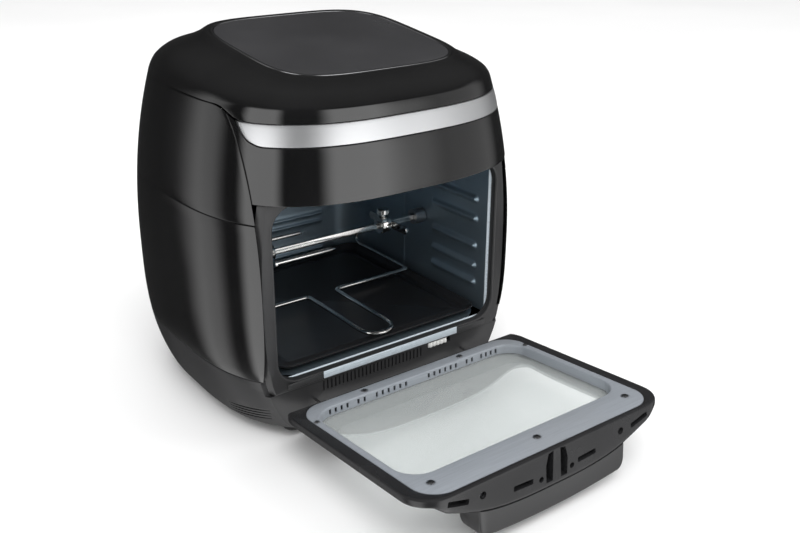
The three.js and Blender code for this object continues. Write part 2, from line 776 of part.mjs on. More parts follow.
function door() {
  const leaf = group(
    piece('door_frame', doorFrame(), 'glossBlack'),
    piece('inner_panel', innerPanel(), 'doorSheet'),
    piece('inner_glass', innerGlass(), 'clearGlass'),
    piece('glass_seal', glassSeal(), 'rubber'),
    piece('outer_glass', outerGlass(), 'clearGlass'),
    piece('door_handle', doorHandle(), 'satinGrey'),
    piece('hinge_pin_left', hingePin(-1), 'steel'),
    piece('hinge_pin_right', hingePin(1), 'steel'),
    ...PANEL_SCREWS.map(([where, x, z, head]) =>
      piece(`panel_screw_${where}`, panelScrew(x, z, head), 'steel'),
    ),
  );
  leaf.position.set(0, -HINGE.y, -HINGE.z);
  const pivot = group(leaf);
  pivot.position.set(0, HINGE.y, HINGE.z);
  pivot.rotation.x = (HINGE.openDeg * Math.PI) / 180;
  return pivot;
}

// Fan, rotisserie, tray and tool ---------------------------------------------------------------

function fan() {
  return group(
    piece('convection_fan', bladedWheel(46, 240, 250, 8, 9), 'steel'),
    piece('cooling_fan', bladedWheel(40, 259, 265, 8, 8), 'whitePlastic'),
    piece('fan_shaft', rod('z', 3, 237, 291, [0, FAN_Y]), 'steel'),
  );
}

function driveCoupler() {
  const { y, z, side } = SPIT;
  const socket = (side + 0.8) / 2;
  const cup = rod('x', 8, 105, 117.2, [y, z]);
  const hole = box([100, SPIT.end + 0.7], [y - socket, y + socket], [z - socket, z + socket]);
  return cup.add(rod('x', 4, 117, 132, [y, z])).subtract(hole);
}

function spitRod() {
  const { y, z, side, end } = SPIT;
  const bar = box([-104, end], [y - side / 2, y + side / 2], [z - side / 2, z + side / 2]);
  return bar.add(rod('x', 2.8, -116.5, -103, [y, z], 16));
}

function spitFork(side) {
  const { y, z, side: bar } = SPIT;
  const { x, hub, hubLength, reach, tine, wire: radius } = FORK;
  const span = (from, to) => [from * side, to * side].sort((a, b) => a - b);
  const outer = x + hubLength;
  let fork = rod('x', hub, ...span(x, outer), [y, z]);
  fork = fork.add(box(span(outer - 3, outer), [y - reach - 4, y + reach + 4], [z - 4, z + 4]));
  for (const offset of [-reach, reach]) {
    const straight = span(outer - 1, outer - tine);
    fork = fork.add(rod('x', radius, ...straight, [y + offset, z], 12));
    const tip = new THREE.ConeGeometry(radius, 8, 12);
    tip.rotateZ((Math.PI / 2) * side);
    tip.translate((outer - tine - 4) * side, y + offset, z);
    fork = fork.add(solid(tip));
  }
  const half = bar / 2 + 0.4;
  const bore = box(span(x - 5, outer + 5), [y - half, y + half], [z - half, z + half]);
  const screwHole = rod('z', 3.3, z, z + 20, [(x + hubLength / 2 - 1.5) * side, y], 16);
  return fork.subtract(bore).subtract(screwHole);
}

function forkScrew(side) {
  const at = [(FORK.x + FORK.hubLength / 2 - 1.5) * side, SPIT.y];
  const shank = rod('z', 3, SPIT.z + 3.4, SPIT.z + 11, at, 16);
  const head = rod('z', 6.5, SPIT.z + 10, SPIT.z + 17, at, 16);
  return shank.add(head);
}

function spit() {
  const pieces = [piece('spit_rod', spitRod(), 'chrome')];
  for (const [where, side] of [['left', -1], ['right', 1]]) {
    pieces.push(piece(`spit_fork_${where}`, spitFork(side), 'chrome'));
    pieces.push(piece(`fork_screw_${where}`, forkScrew(side), 'chrome'));
  }
  return group(...pieces);
}

function dripTray() {
  const { halfWidth, front, back, low, high, sheet } = TRAY;
  const outer = flatPlate(halfWidth, front, back, 14, [low, high]);
  const inner = flatPlate(halfWidth - sheet, front + sheet, back - sheet, 13, [low + sheet, high + 1]);
  return outer.subtract(inner);
}

// A wire frame with a hook at the end of each arm and a narrow loop for the hand.
function liftTool() {
  const { wire: radius, halfWidth, crossY, hookY, gripY, gripHalf } = TOOL;
  const z = TRAY.high + GAP + radius;
  const corner = 8;
  let frame = null;
  for (const side of [-1, 1]) {
    const x = side * halfWidth;
    const grip = side * gripHalf;
    const route = [
      [x, hookY + 4, z + 13],
      [x, hookY + 7, z + 6],
      [x, hookY, z],
      [x, hookY - 14, z],
      [x, crossY + corner, z],
      [x - side * 2.4, crossY + 2.4, z],
      [x - side * corner, crossY, z],
      [grip + side * corner, crossY, z],
      [grip + side * 2, crossY - 2, z],
      [grip, crossY - corner, z],
      [grip, gripY + gripHalf, z],
      [grip * 0.72, gripY + gripHalf * 0.3, z],
      [0, gripY, z],
    ];
    const half = wire(route, radius, { steps: 44, sides: 3, tension: 0.35 });
    frame = frame ? frame.add(half) : half;
  }
  const join = rod('x', radius * 1.05, -4, 4, [gripY, z], 12);
  return frame.add(join);
}

// Assembly -----------------------------------------------------------------------------------

const housing = group(
  piece('base_pan', basePan(), 'matteBlack'),
  piece('lower_shell', lowerShell(), 'glossBlack'),
  piece('upper_shell', upperShell(), 'glossBlack'),
  piece('rear_vent_cover', rearVentCover(), 'matteBlack'),
  piece('front_fascia', frontFascia(), 'glossBlack'),
  piece('silver_band', silverBand(), 'brushedSilver'),
  piece('top_cover', topCover(), 'glossBlack'),
  panelGroup(),
  piece('opening_bezel', openingBezel(), 'satinGrey'),
  piece('floor_strip', floorStrip(), 'cavitySteel'),
  piece('cavity_liner', cavityLiner(), 'cavitySteel'),
  piece('rack_runner_left', rackRunner(-1), 'cavitySteel'),
  piece('rack_runner_right', rackRunner(1), 'cavitySteel'),
  piece('heater_guard', heaterGuard(), 'steel'),
  piece('heater_element', heaterElement(), 'heater'),
  piece('air_shroud', airShroud(), 'steel'),
  piece('fan_motor', fanMotor(), 'steel'),
  piece('power_board', powerBoard(), 'board'),
  piece('thermal_sensor', thermalSensor(), 'steel'),
  piece('rotisserie_motor', rotisserieMotor(), 'steel'),
  piece('spit_bearing', spitBearing(), 'steel'),
  piece('door_switch', doorSwitch(), 'whitePlastic'),
  piece('hinge_bracket_left', hingeBracket(-1), 'steel'),
  piece('hinge_bracket_right', hingeBracket(1), 'steel'),
  piece('cord_gland', cordGland(), 'rubber'),
  ...feet(),
);

const assembly = group(
  housing,
  door(),
  fan(),
  piece('drive_coupler', driveCoupler(), 'steel'),
  spit(),
  piece('drip_tray', dripTray(), 'nonStick'),
  piece('lift_tool', liftTool(), 'chrome'),
  piece('release_thumb', releaseThumb(), 'whitePlastic'),
  piece('latch_hooks', latchHooks(), 'whitePlastic'),
);

// The origin is the middle of the footprint with the door open.
assembly.updateMatrixWorld(true);
const extent = new THREE.Box3().setFromObject(assembly, true);
assembly.position.y = -(extent.min.y + extent.max.y) / 2;

export default group(assembly);
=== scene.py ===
"""Air fryer with a fold-down glass door: the pieces that show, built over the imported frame.

Shapes are drawn in millimetres, with x = y = 0 in the middle of the body and z = 0 on the table.
Door shapes are drawn shut and turned open about the hinge when they are placed.
"""

import json
import logging
import math
from dataclasses import dataclass
from enum import Enum
from typing import Any, Callable, Iterable, Optional, Sequence, Union

import bmesh
import bpy
from mathutils import Matrix, Vector


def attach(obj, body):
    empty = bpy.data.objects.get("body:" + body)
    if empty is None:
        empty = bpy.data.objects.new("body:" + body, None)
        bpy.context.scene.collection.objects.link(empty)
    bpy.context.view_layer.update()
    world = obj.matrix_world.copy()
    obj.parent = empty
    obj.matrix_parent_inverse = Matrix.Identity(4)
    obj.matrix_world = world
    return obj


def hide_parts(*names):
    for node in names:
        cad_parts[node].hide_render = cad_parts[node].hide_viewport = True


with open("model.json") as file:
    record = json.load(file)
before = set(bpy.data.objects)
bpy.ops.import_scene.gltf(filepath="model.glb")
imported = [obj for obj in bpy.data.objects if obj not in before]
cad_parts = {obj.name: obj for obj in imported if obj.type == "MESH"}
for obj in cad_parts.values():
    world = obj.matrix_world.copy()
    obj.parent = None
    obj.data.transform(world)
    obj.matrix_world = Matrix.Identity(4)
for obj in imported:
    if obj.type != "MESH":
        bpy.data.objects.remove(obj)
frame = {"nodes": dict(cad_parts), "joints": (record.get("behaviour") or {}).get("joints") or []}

Point = tuple[float, float, float]
Flat = tuple[float, float]
Ring = list[Point]
Colour = tuple[float, float, float]

LOG = logging.getLogger("air_fryer")
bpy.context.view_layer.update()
MM = 0.001


def joint_position(name: str) -> Vector:
    """Find where a joint of the frame sits.

    Args:
        name: The joint's name.

    Returns:
        Its position in the frame, in millimetres.
    """
    joint = next(j for j in frame["joints"] if j["name"] == name)
    return Vector(joint["pos_m"]) / MM


@dataclass(frozen=True)
class HingeLine:
    """The line that the door turns about, and how far it opens."""

    y: float = -137.5
    z: float = 25.5
    open_deg: float = 85.0

    def opened(self) -> Matrix:
        """Turn of a shut door shape to where the open door lies, in millimetres."""
        there = Matrix.Translation((0, self.y, self.z))
        return there @ Matrix.Rotation(math.radians(self.open_deg), 4, "X") @ there.inverted()


HINGE = HingeLine()
FRAME_SHIFT = joint_position("door_hinge").y - HINGE.y


class Side(Enum):
    """The two sides of the appliance, seen from its front."""

    LEFT = -1
    RIGHT = 1

    @property
    def word(self) -> str:
        """The side's name as it stands in piece names."""
        return self.name.lower()


# Materials ------------------------------------------------------------------------------------


class Flow:
    """A value inside a material that takes part in Python arithmetic through Math nodes."""

    def __init__(self, recipe: "Recipe", socket: bpy.types.NodeSocket) -> None:
        """Hold a socket.

        Args:
            recipe: The recipe that new nodes go to.
            socket: The output socket with the value.
        """
        self.recipe = recipe
        self.socket = socket

    def _math(self, operation: str, first: Any, second: Any) -> "Flow":
        """Add a Math node.

        Args:
            operation: The Math node's operation.
            first: A number or a Flow.
            second: A number or a Flow.

        Returns:
            The node's result.
        """
        made = self.recipe.node("ShaderNodeMath", {"operation": operation}, {0: first, 1: second})
        return Flow(self.recipe, made.outputs[0])

    def __add__(self, other: Any) -> "Flow":
        """Sum."""
        return self._math("ADD", self, other)

    def __radd__(self, other: Any) -> "Flow":
        """Sum, from the right."""
        return self._math("ADD", other, self)

    def __sub__(self, other: Any) -> "Flow":
        """Difference."""
        return self._math("SUBTRACT", self, other)

    def __rsub__(self, other: Any) -> "Flow":
        """Difference, from the right."""
        return self._math("SUBTRACT", other, self)

    def __mul__(self, other: Any) -> "Flow":
        """Product."""
        return self._math("MULTIPLY", self, other)

    def __rmul__(self, other: Any) -> "Flow":
        """Product, from the right."""
        return self._math("MULTIPLY", other, self)

    def __truediv__(self, other: Any) -> "Flow":
        """Quotient."""
        return self._math("DIVIDE", self, other)

    def __rtruediv__(self, other: Any) -> "Flow":
        """Quotient, from the right."""
        return self._math("DIVIDE", other, self)

    def __pow__(self, other: Any) -> "Flow":
        """Power."""
        return self._math("POWER", self, other)

    def __gt__(self, other: Any) -> "Flow":
        """1 where this value is the greater, else 0."""
        return self._math("GREATER_THAN", self, other)


class Recipe:
    """The nodes of one material, while they are laid out."""

    def __init__(self, name: str, world: bool = False) -> None:
        """Start an empty material.

        Args:
            name: The material's name.
            world: Lay out a world instead.
        """
        self.material = (bpy.data.worlds if world else bpy.data.materials).new(name)
        self.material.use_nodes = True
        self.tree = self.material.node_tree
        self.tree.nodes.clear()

    def node(
        self,
        kind: str,
        settings: Optional[dict[str, Any]] = None,
        inputs: Optional[dict[Union[str, int], Any]] = None,
    ) -> bpy.types.Node:
        """Add one node, its settings first and then its sockets.

        Args:
            kind: The node's type.
            settings: Properties by name; "stops" holds a ramp's positions and colours.
            inputs: Values or links by socket name or number.

        Returns:
            The node.
        """
        made = self.tree.nodes.new(kind)
        for key, value in (settings or {}).items():
            if key == "stops":
                ramp = made.color_ramp
                while len(ramp.elements) < len(value):
                    ramp.elements.new(0.5)
                for element, (position, colour) in zip(ramp.elements, value):
                    element.position, element.color = position, (*colour, 1.0)
            else:
                setattr(made, key, value)
        for key, value in (inputs or {}).items():
            if isinstance(value, Flow):
                self.tree.links.new(value.socket, made.inputs[key])
            elif isinstance(value, bpy.types.NodeSocket):
                self.tree.links.new(value, made.inputs[key])
            else:
                made.inputs[key].default_value = value
        return made

    def place(self, stretch: Point = (1.0, 1.0, 1.0)) -> Flow:
        """Where a surface point lies, in metres, with each axis multiplied.

        Args:
            stretch: The factor of each axis.

        Returns:
            The point as a vector.
        """
        here = self.node("ShaderNodeTexCoord").outputs["Object"]
        made = self.node("ShaderNodeVectorMath", {"operation": "MULTIPLY"}, {0: here, 1: stretch})
        return Flow(self, made.outputs[0])

    def noise(self, scale: float, detail: float = 3.0, stretch: Point = (1.0, 1.0, 1.0)) -> Flow:
        """A soft random field from about 0.3 to 0.7.

        Args:
            scale: Features per metre.
            detail: Finer layers on top.
            stretch: Axis factors, small where the field is drawn out.

        Returns:
            The field.
        """
        sockets = {"Vector": self.place(stretch), "Scale": scale, "Detail": detail}
        return Flow(self, self.node("ShaderNodeTexNoise", inputs=sockets).outputs["Fac"])

    def cells(self, scale: float) -> Flow:
        """Distance to the nearest of scattered points, 0 at a point.

        Args:
            scale: Points per metre.

        Returns:
            The distance field.
        """
        sockets = {"Vector": self.place(), "Scale": scale}
        return Flow(self, self.node("ShaderNodeTexVoronoi", inputs=sockets).outputs["Distance"])

    def ramp(self, value: Flow, low: float, high: float) -> Flow:
        """Ease a value from 0 at low to 1 at high.

        Args:
            value: What is eased.
            low: Where it starts.
            high: Where it ends.

        Returns:
            The eased value.
        """
        sockets = {"Value": value, "From Min": low, "From Max": high}
        settings = {"interpolation_type": "SMOOTHSTEP"}
        return Flow(self, self.node("ShaderNodeMapRange", settings, sockets).outputs["Result"])

    def edges(self) -> Flow:
        """1 along outward edges and 0 on flats, where handling has polished a part."""
        point = Flow(self, self.node("ShaderNodeNewGeometry").outputs["Pointiness"])
        return self.ramp(point, 0.52, 0.6)

    def mix(self, factor: Any, first: Any, second: Any) -> Flow:
        """Mix two colours.

        Args:
            factor: 0 for the first colour, 1 for the second.
            first: A colour or a Flow.
            second: A colour or a Flow.

        Returns:
            The mixed colour.
        """
        pair = [(*c, 1.0) if isinstance(c, tuple) else c for c in (first, second)]
        made = self.node("ShaderNodeMix", {"data_type": "RGBA"}, {0: factor, 6: pair[0], 7: pair[1]})
        return Flow(self, made.outputs[2])

    def relief(self, height: Flow, depth_mm: float, strength: float = 1.0) -> bpy.types.NodeSocket:
        """A bumped normal.

        Args:
            height: The height field, 0 to 1.
            depth_mm: Depth of the full range.
            strength: Share of the effect.

        Returns:
            The Normal output.
        """
        sockets = {"Height": height, "Distance": depth_mm * MM, "Strength": strength}
        return self.node("ShaderNodeBump", inputs=sockets).outputs["Normal"]

    def finish(self, surface: bpy.types.NodeSocket) -> bpy.types.Material:
        """Send a shader to the material's output and return the material."""
        self.node("ShaderNodeOutputMaterial", inputs={"Surface": surface})
        return self.material


@dataclass(frozen=True)
class Finish:
    """What every finish has: a name, and a material made once."""

    name: str

    def layout(self, recipe: Recipe) -> bpy.types.NodeSocket:
        """Lay out the nodes and return the shader socket."""
        raise NotImplementedError

    def material(self) -> bpy.types.Material:
        """The finish's material, made the first time it is asked for."""
        ready = bpy.data.materials.get(self.name)
        if ready is not None:
            return ready
        recipe = Recipe(self.name)
        return recipe.finish(self.layout(recipe))


@dataclass(frozen=True)
class Moulded(Finish):
    """Moulded plastic or rubber, from mirror gloss to spark-eroded grain."""

    colour: Colour = (0.01, 0.01, 0.011)
    roughness: float = 0.1
    grain_mm: float = 0.6
    grain_depth_mm: float = 0.0
    smudge: float = 0.05
    coat: float = 0.0
    specular: float = 0.5
    wear: float = 0.0

    def layout(self, recipe: Recipe) -> bpy.types.NodeSocket:
        """Lay out the nodes and return the shader socket."""
        haze = recipe.ramp(recipe.noise(9.0, 4.0), 0.35, 0.7)
        dust = recipe.ramp(recipe.cells(260.0), 0.09, 0.03) * recipe.ramp(recipe.noise(30.0), 0.5, 0.7)
        light = tuple(min(1.0, c * 1.35 + 0.001) for c in self.colour)
        speck = tuple(min(1.0, c + 0.03) for c in self.colour)
        colour = recipe.mix(haze, self.colour, light)
        colour = recipe.mix(dust * 0.35, colour, speck)
        if self.wear:
            colour = recipe.mix(recipe.edges() * self.wear, colour, tuple(c + 0.05 for c in self.colour))
        grain = recipe.noise(1000.0 / self.grain_mm, 2.0)
        wave = recipe.noise(16.0, 1.0)
        height = wave * 0.5 + grain * (self.grain_depth_mm + 0.0006)
        sockets = {
            "Base Color": colour,
            "Roughness": haze * self.smudge + dust * 0.15 + self.roughness,
            "Specular IOR Level": self.specular,
            "Coat Weight": self.coat,
            "Coat Roughness": 0.04,
            "Normal": recipe.relief(height, 1.0, 0.9),
        }
        return recipe.node("ShaderNodeBsdfPrincipled", inputs=sockets).outputs["BSDF"]


class Brushing(Enum):
    """Which way a metal's fine lines run, as the factors that draw the noise out."""

    ALONG_X = (0.012, 1.0, 1.0)
    NONE = (1.0, 1.0, 1.0)


@dataclass(frozen=True)
class Metal(Finish):
    """Bare, plated or painted sheet metal and wire."""

    colour: Colour = (0.6, 0.6, 0.6)
    roughness: float = 0.25
    metallic: float = 1.0
    brushing: Brushing = Brushing.NONE
    lines_per_mm: float = 3.0
    lines_depth_mm: float = 0.004
    stain: float = 0.1
    stain_colour: Colour = (0.35, 0.3, 0.24)

    def layout(self, recipe: Recipe) -> bpy.types.NodeSocket:
        """Lay out the nodes and return the shader socket."""
        lines = recipe.noise(self.lines_per_mm * 1000.0, 2.0, self.brushing.value)
        cloud = recipe.ramp(recipe.noise(14.0, 5.0), 0.42, 0.75)
        fine = recipe.ramp(recipe.noise(120.0, 3.0), 0.5, 0.72)
        dark = tuple(c * 0.8 for c in self.colour)
        colour = recipe.mix(recipe.ramp(lines, 0.3, 0.7), dark, self.colour)
        colour = recipe.mix(cloud * self.stain, colour, self.stain_colour)
        sockets = {
            "Base Color": colour,
            "Metallic": self.metallic,
            "Roughness": lines * 0.1 + cloud * 0.06 + fine * 0.03 + (self.roughness - 0.08),
            "Normal": recipe.relief(lines, self.lines_depth_mm, 0.8),
        }
        return recipe.node("ShaderNodeBsdfPrincipled", inputs=sockets).outputs["BSDF"]


@dataclass(frozen=True)
class ClearPane(Finish):
    """Thin clear glass that lets the light straight through and keeps its reflections."""

    tint: Colour = (0.95, 0.97, 0.97)

    def layout(self, recipe: Recipe) -> bpy.types.NodeSocket:
        """Lay out the nodes and return the shader socket."""
        film = recipe.ramp(recipe.noise(22.0, 5.0), 0.45, 0.8)
        clear = recipe.node("ShaderNodeBsdfTransparent", inputs={"Color": (*self.tint, 1.0)})
        gloss = recipe.node(
            "ShaderNodeBsdfPrincipled",
            inputs={
                "Base Color": recipe.mix(film, (0.7, 0.72, 0.72), (0.55, 0.57, 0.57)),
                "Metallic": 1.0,
                "Roughness": film * 0.05 + 0.02,
            },
        )
        slant = Flow(recipe, recipe.node("ShaderNodeLayerWeight", inputs={"Blend": 0.5}).outputs["Facing"])
        square = slant * slant
        share = square * square * slant * 0.9 + film * 0.03 + 0.04
        mixed = recipe.node(
            "ShaderNodeMixShader",
            inputs={0: share, 1: clear.outputs[0], 2: gloss.outputs[0]},
        )
        return mixed.outputs[0]


@dataclass(frozen=True)
class Circuit(Finish):
    """A green board with paler copper tracks under its lacquer."""

    board: Colour = (0.012, 0.09, 0.035)
    track: Colour = (0.05, 0.22, 0.08)

    def layout(self, recipe: Recipe) -> bpy.types.NodeSocket:
        """Lay out the nodes and return the shader socket."""
        sockets = {"Vector": recipe.place(), "Scale": 160.0, "Mortar Size": 0.06, "Bias": -0.4}
        brick = Flow(recipe, recipe.node("ShaderNodeTexBrick", inputs=sockets).outputs["Fac"])
        cloud = recipe.ramp(recipe.noise(60.0), 0.4, 0.7)
        shader = {
            "Base Color": recipe.mix(brick * 0.8 + cloud * 0.1, self.board, self.track),
            "Roughness": brick * 0.15 + cloud * 0.1 + 0.25,
            "Normal": recipe.relief(brick, 0.05),
        }
        return recipe.node("ShaderNodeBsdfPrincipled", inputs=shader).outputs["BSDF"]


GLOSS_BLACK = Moulded("gloss_black_plastic", colour=(0.005, 0.005, 0.0052), coat=0.8, roughness=0.07)
MATTE_BLACK = Moulded(
    "matte_black_plastic", colour=(0.016, 0.016, 0.017), roughness=0.38, grain_depth_mm=0.02, wear=0.2
)
SATIN_GREY = Moulded(
    "satin_grey_plastic", colour=(0.022, 0.022, 0.023), roughness=0.36, grain_depth_mm=0.012, wear=0.3
)
RIM_BLACK = Moulded(
    "door_rim_black", colour=(0.016, 0.016, 0.017), roughness=0.24, grain_depth_mm=0.004, wear=0.3
)
TOUCH_GLASS = Moulded(
    "touch_panel_glass", colour=(0.034, 0.034, 0.036), roughness=0.22, smudge=0.06, specular=0.45
)
RUBBER = Moulded(
    "black_rubber", colour=(0.012, 0.012, 0.012), roughness=0.7, grain_depth_mm=0.03, specular=0.3
)
WHITE_PLASTIC = Moulded(
    "white_plastic", colour=(0.78, 0.78, 0.76), roughness=0.32, grain_depth_mm=0.006, coat=0.1
)
BRUSHED_SILVER = Metal(
    "brushed_silver", colour=(0.8, 0.805, 0.81), roughness=0.27, brushing=Brushing.ALONG_X, stain=0.0
)
TRIM_SILVER = Metal("trim_silver", colour=(0.45, 0.45, 0.46), roughness=0.2, stain=0.0)
DOOR_SHEET = Metal(
    "door_sheet_satin",
    colour=(0.37, 0.4, 0.44),
    roughness=0.42,
    metallic=0.25,
    brushing=Brushing.ALONG_X,
    lines_depth_mm=0.002,
    stain=0.05,
)
CAVITY_STEEL = Metal(
    "cavity_steel",
    colour=(0.34, 0.42, 0.48),
    roughness=0.3,
    metallic=0.5,
    brushing=Brushing.ALONG_X,
    lines_depth_mm=0.002,
    stain=0.1,
)
# A paler, less metallic copy of the cavity steel: its pale colour paints the highlight where light catches the sill
# strip and the mouth flange.
LIT_CAVITY_STEEL = Metal(
    "cavity_steel_painted_highlight", colour=(0.62, 0.7, 0.76), roughness=0.3, metallic=0.1, brushing=Brushing.ALONG_X, stain=0.03
)
CHROME = Metal("chrome_wire", colour=(0.78, 0.77, 0.75), roughness=0.12, lines_per_mm=1.0, stain=0.05)
DULL_STEEL = Metal("satin_steel", colour=(0.5, 0.5, 0.51), roughness=0.32, stain=0.12)
SCREW_STEEL = Metal("screw_steel", colour=(0.42, 0.43, 0.45), roughness=0.3, stain=0.15)
HEATER_STEEL = Metal(
    "heater_steel", colour=(0.14, 0.12, 0.11), roughness=0.5, stain=0.6, stain_colour=(0.2, 0.11, 0.06)
)
NON_STICK = Moulded(
    "non_stick_coat", colour=(0.012, 0.012, 0.013), roughness=0.3, grain_mm=0.4, grain_depth_mm=0.01
)
CLEAR_GLASS = ClearPane("clear_glass")
CIRCUIT = Circuit("circuit_board")


# Drawing --------------------------------------------------------------------------------------


class Mould:
    """A closed surface while it is drawn, in millimetres."""

    def __init__(self) -> None:
        """Start with nothing drawn."""
        self.points: list[Point] = []
        self.faces: list[tuple[int, ...]] = []

    def stack(self, rings: Sequence[Ring], loop: bool = False, caps: bool = True) -> "Mould":
        """Skin a run of rings that have the same number of points.

        Args:
            rings: The rings, in order.
            loop: The last ring joins the first.
            caps: Close the first and last ring with a face.

        Returns:
            The same mould.
        """
        base, count = len(self.points), len(rings[0])
        for ring in rings:
            self.points.extend(ring)
        total = len(rings)
        for r in range(total if loop else total - 1):
            low, high = base + r * count, base + ((r + 1) % total) * count
            for i in range(count):
                k = (i + 1) % count
                self.faces.append((low + i, low + k, high + k, high + i))
        if caps and not loop:
            self.faces.append(tuple(range(base + count - 1, base - 1, -1)))
            self.faces.append(tuple(range(base + (total - 1) * count, base + total * count)))
        return self

    def with_(self, *others: "Mould") -> "Mould":
        """Take in other moulds, each left as a body of its own, and return this one."""
        for other in others:
            base = len(self.points)
            self.points.extend(other.points)
            self.faces.extend(tuple(base + i for i in face) for face in other.faces)
        return self

    def moved(self, matrix: Matrix) -> "Mould":
        """A copy with every point moved by a matrix in millimetres."""
        made = Mould()
        made.points = [tuple(matrix @ Vector(p)) for p in self.points]
        made.faces = list(self.faces)
        return made

    def mirrored(self) -> "Mould":
        """A copy on the other side of the middle plane."""
        return self.moved(Matrix.Scale(-1, 4, (1, 0, 0)))

    def mesh(self, name: str) -> bpy.types.Mesh:
        """The surface as a mesh in metres in the frame, with its normals outward."""
        made = bpy.data.meshes.new(name)
        points = [(x * MM, (y + FRAME_SHIFT) * MM, z * MM) for x, y, z in self.points]
        made.from_pydata(points, [], self.faces)
        work = bmesh.new()
        work.from_mesh(made)
        bmesh.ops.remove_doubles(work, verts=work.verts, dist=1e-7)
        bmesh.ops.recalc_face_normals(work, faces=work.faces)
        self.turn_outward(work)
        work.to_mesh(made)
        work.free()
        return made

    @staticmethod
    def turn_outward(work: bmesh.types.BMesh) -> None:
        """Reverse every separate body whose faces all look inward.

        Args:
            work: The mesh, each body's faces already turned one way.
        """
        seen: set[bmesh.types.BMFace] = set()
        for first in list(work.faces):
            if first in seen:
                continue
            body, waiting = [], [first]
            seen.add(first)
            while waiting:
                face = waiting.pop()
                body.append(face)
                for edge in face.edges:
                    fresh = [other for other in edge.link_faces if other not in seen]
                    seen.update(fresh)
                    waiting.extend(fresh)
            if sum(face.calc_center_median().dot(face.normal) * face.calc_area() for face in body) < 0:
                bmesh.ops.reverse_faces(work, faces=body)


def superellipse(half_width: float, half_depth: float, power: float, count: int = 144) -> list[Flat]:
    """A rounded square outline at even polar angles.

    Args:
        half_width: Half its size in x.
        half_depth: Half its size in y.
        power: 2 for an ellipse, more for a squarer outline.
        count: Number of points.

    Returns:
        The outline, anticlockwise from +x.
    """
    made = []
    for i in range(count):
        angle = 2 * math.pi * i / count
        c, s = math.cos(angle), math.sin(angle)
        r = (abs(c / half_width) ** power + abs(s / half_depth) ** power) ** (-1 / power)
        made.append((r * c, r * s))
    return made


def rounded_plate(
    half_width: float, low: float, high: float, radius: float, y: float, turns: int = 10, run: int = 8
) -> Ring:
    """A rounded rectangle that stands upright.

    Args:
        half_width: Half its width.
        low: Height of its lower edge.
        high: Height of its upper edge.
        radius: Corner radius.
        y: The plane that it stands in.
        turns: Steps in each corner.
        run: Steps along each straight side.

    Returns:
        The ring, anticlockwise as seen from the front.
    """
    corners = [
        (half_width - radius, high - radius, 0),
        (radius - half_width, high - radius, 90),
        (radius - half_width, low + radius, 180),
        (half_width - radius, low + radius, 270),
    ]
    made: Ring = []
    for number, (cx, cz, start) in enumerate(corners):
        for i in range(turns + 1):
            angle = math.radians(start + 90 * i / turns)
            made.append((cx + radius * math.cos(angle), y, cz + radius * math.sin(angle)))
        nx, nz, begin = corners[(number + 1) % 4]
        angle = math.radians(begin)
        end = (nx + radius * math.cos(angle), y, nz + radius * math.sin(angle))
        last = made[-1]
        for i in range(1, run):
            share = i / run
            made.append((last[0] + (end[0] - last[0]) * share, y, last[2] + (end[2] - last[2]) * share))
    return made


def flat_plate(half_width: float, front: float, back: float, radius: float, z: float) -> Ring:
    """A rounded rectangle that lies flat.

    Args:
        half_width: Half its width.
        front: Its front edge in y.
        back: Its back edge in y.
        radius: Corner radius.
        z: Its height.

    Returns:
        The ring.
    """
    return [(x, y, z) for x, _, y in rounded_plate(half_width, front, back, radius, 0)]


def block(x: Flat, y: Flat, z: Flat) -> Mould:
    """A square block between two corners, for cutting or to be bevelled.

    Args:
        x: Its extent in x.
        y: Its extent in y.
        z: Its extent in z.

    Returns:
        The block.
    """
    ring = [(x[0], y[0]), (x[1], y[0]), (x[1], y[1]), (x[0], y[1])]
    return Mould().stack([[(a, b, h) for a, b in ring] for h in z])


def turned(profile: Sequence[Flat], axis: str, centre: Flat, steps: int = 32) -> Mould:
    """A turned part, closed at both ends.

    Args:
        profile: Radius and place along the axis, from one end to the other.
        axis: "x", "y" or "z".
        centre: Where the axis stands, in the two other coordinates in order.
        steps: Sides of the turned shape.

    Returns:
        The part.
    """
    rings = []
    for radius, along in profile:
        ring = []
        for i in range(steps):
            angle = 2 * math.pi * i / steps
            a = centre[0] + radius * math.cos(angle)
            b = centre[1] + radius * math.sin(angle)
            ring.append({"x": (along, a, b), "y": (a, along, b), "z": (a, b, along)}[axis])
        rings.append(ring)
    return Mould().stack(rings)


def smooth_run(knots: Sequence[Sequence[float]], steps: int) -> list[tuple[float, ...]]:
    """Points on a smooth curve through knots.

    Args:
        knots: Points of any dimension.
        steps: Points from each knot to the next.

    Returns:
        The curve's points, both ends included.
    """
    made = []
    padded = [knots[0], *knots, knots[-1]]
    for k in range(1, len(padded) - 2):
        a, b, c, d = padded[k - 1 : k + 3]
        for i in range(steps):
            t = i / steps
            made.append(
                tuple(
                    0.5 * (2 * q + (r - p) * t + (2 * p - 5 * q + 4 * r - s) * t**2 + (3 * q - p - 3 * r + s) * t**3)
                    for p, q, r, s in zip(a, b, c, d)
                )
            )
    made.append(tuple(knots[-1]))
    return made


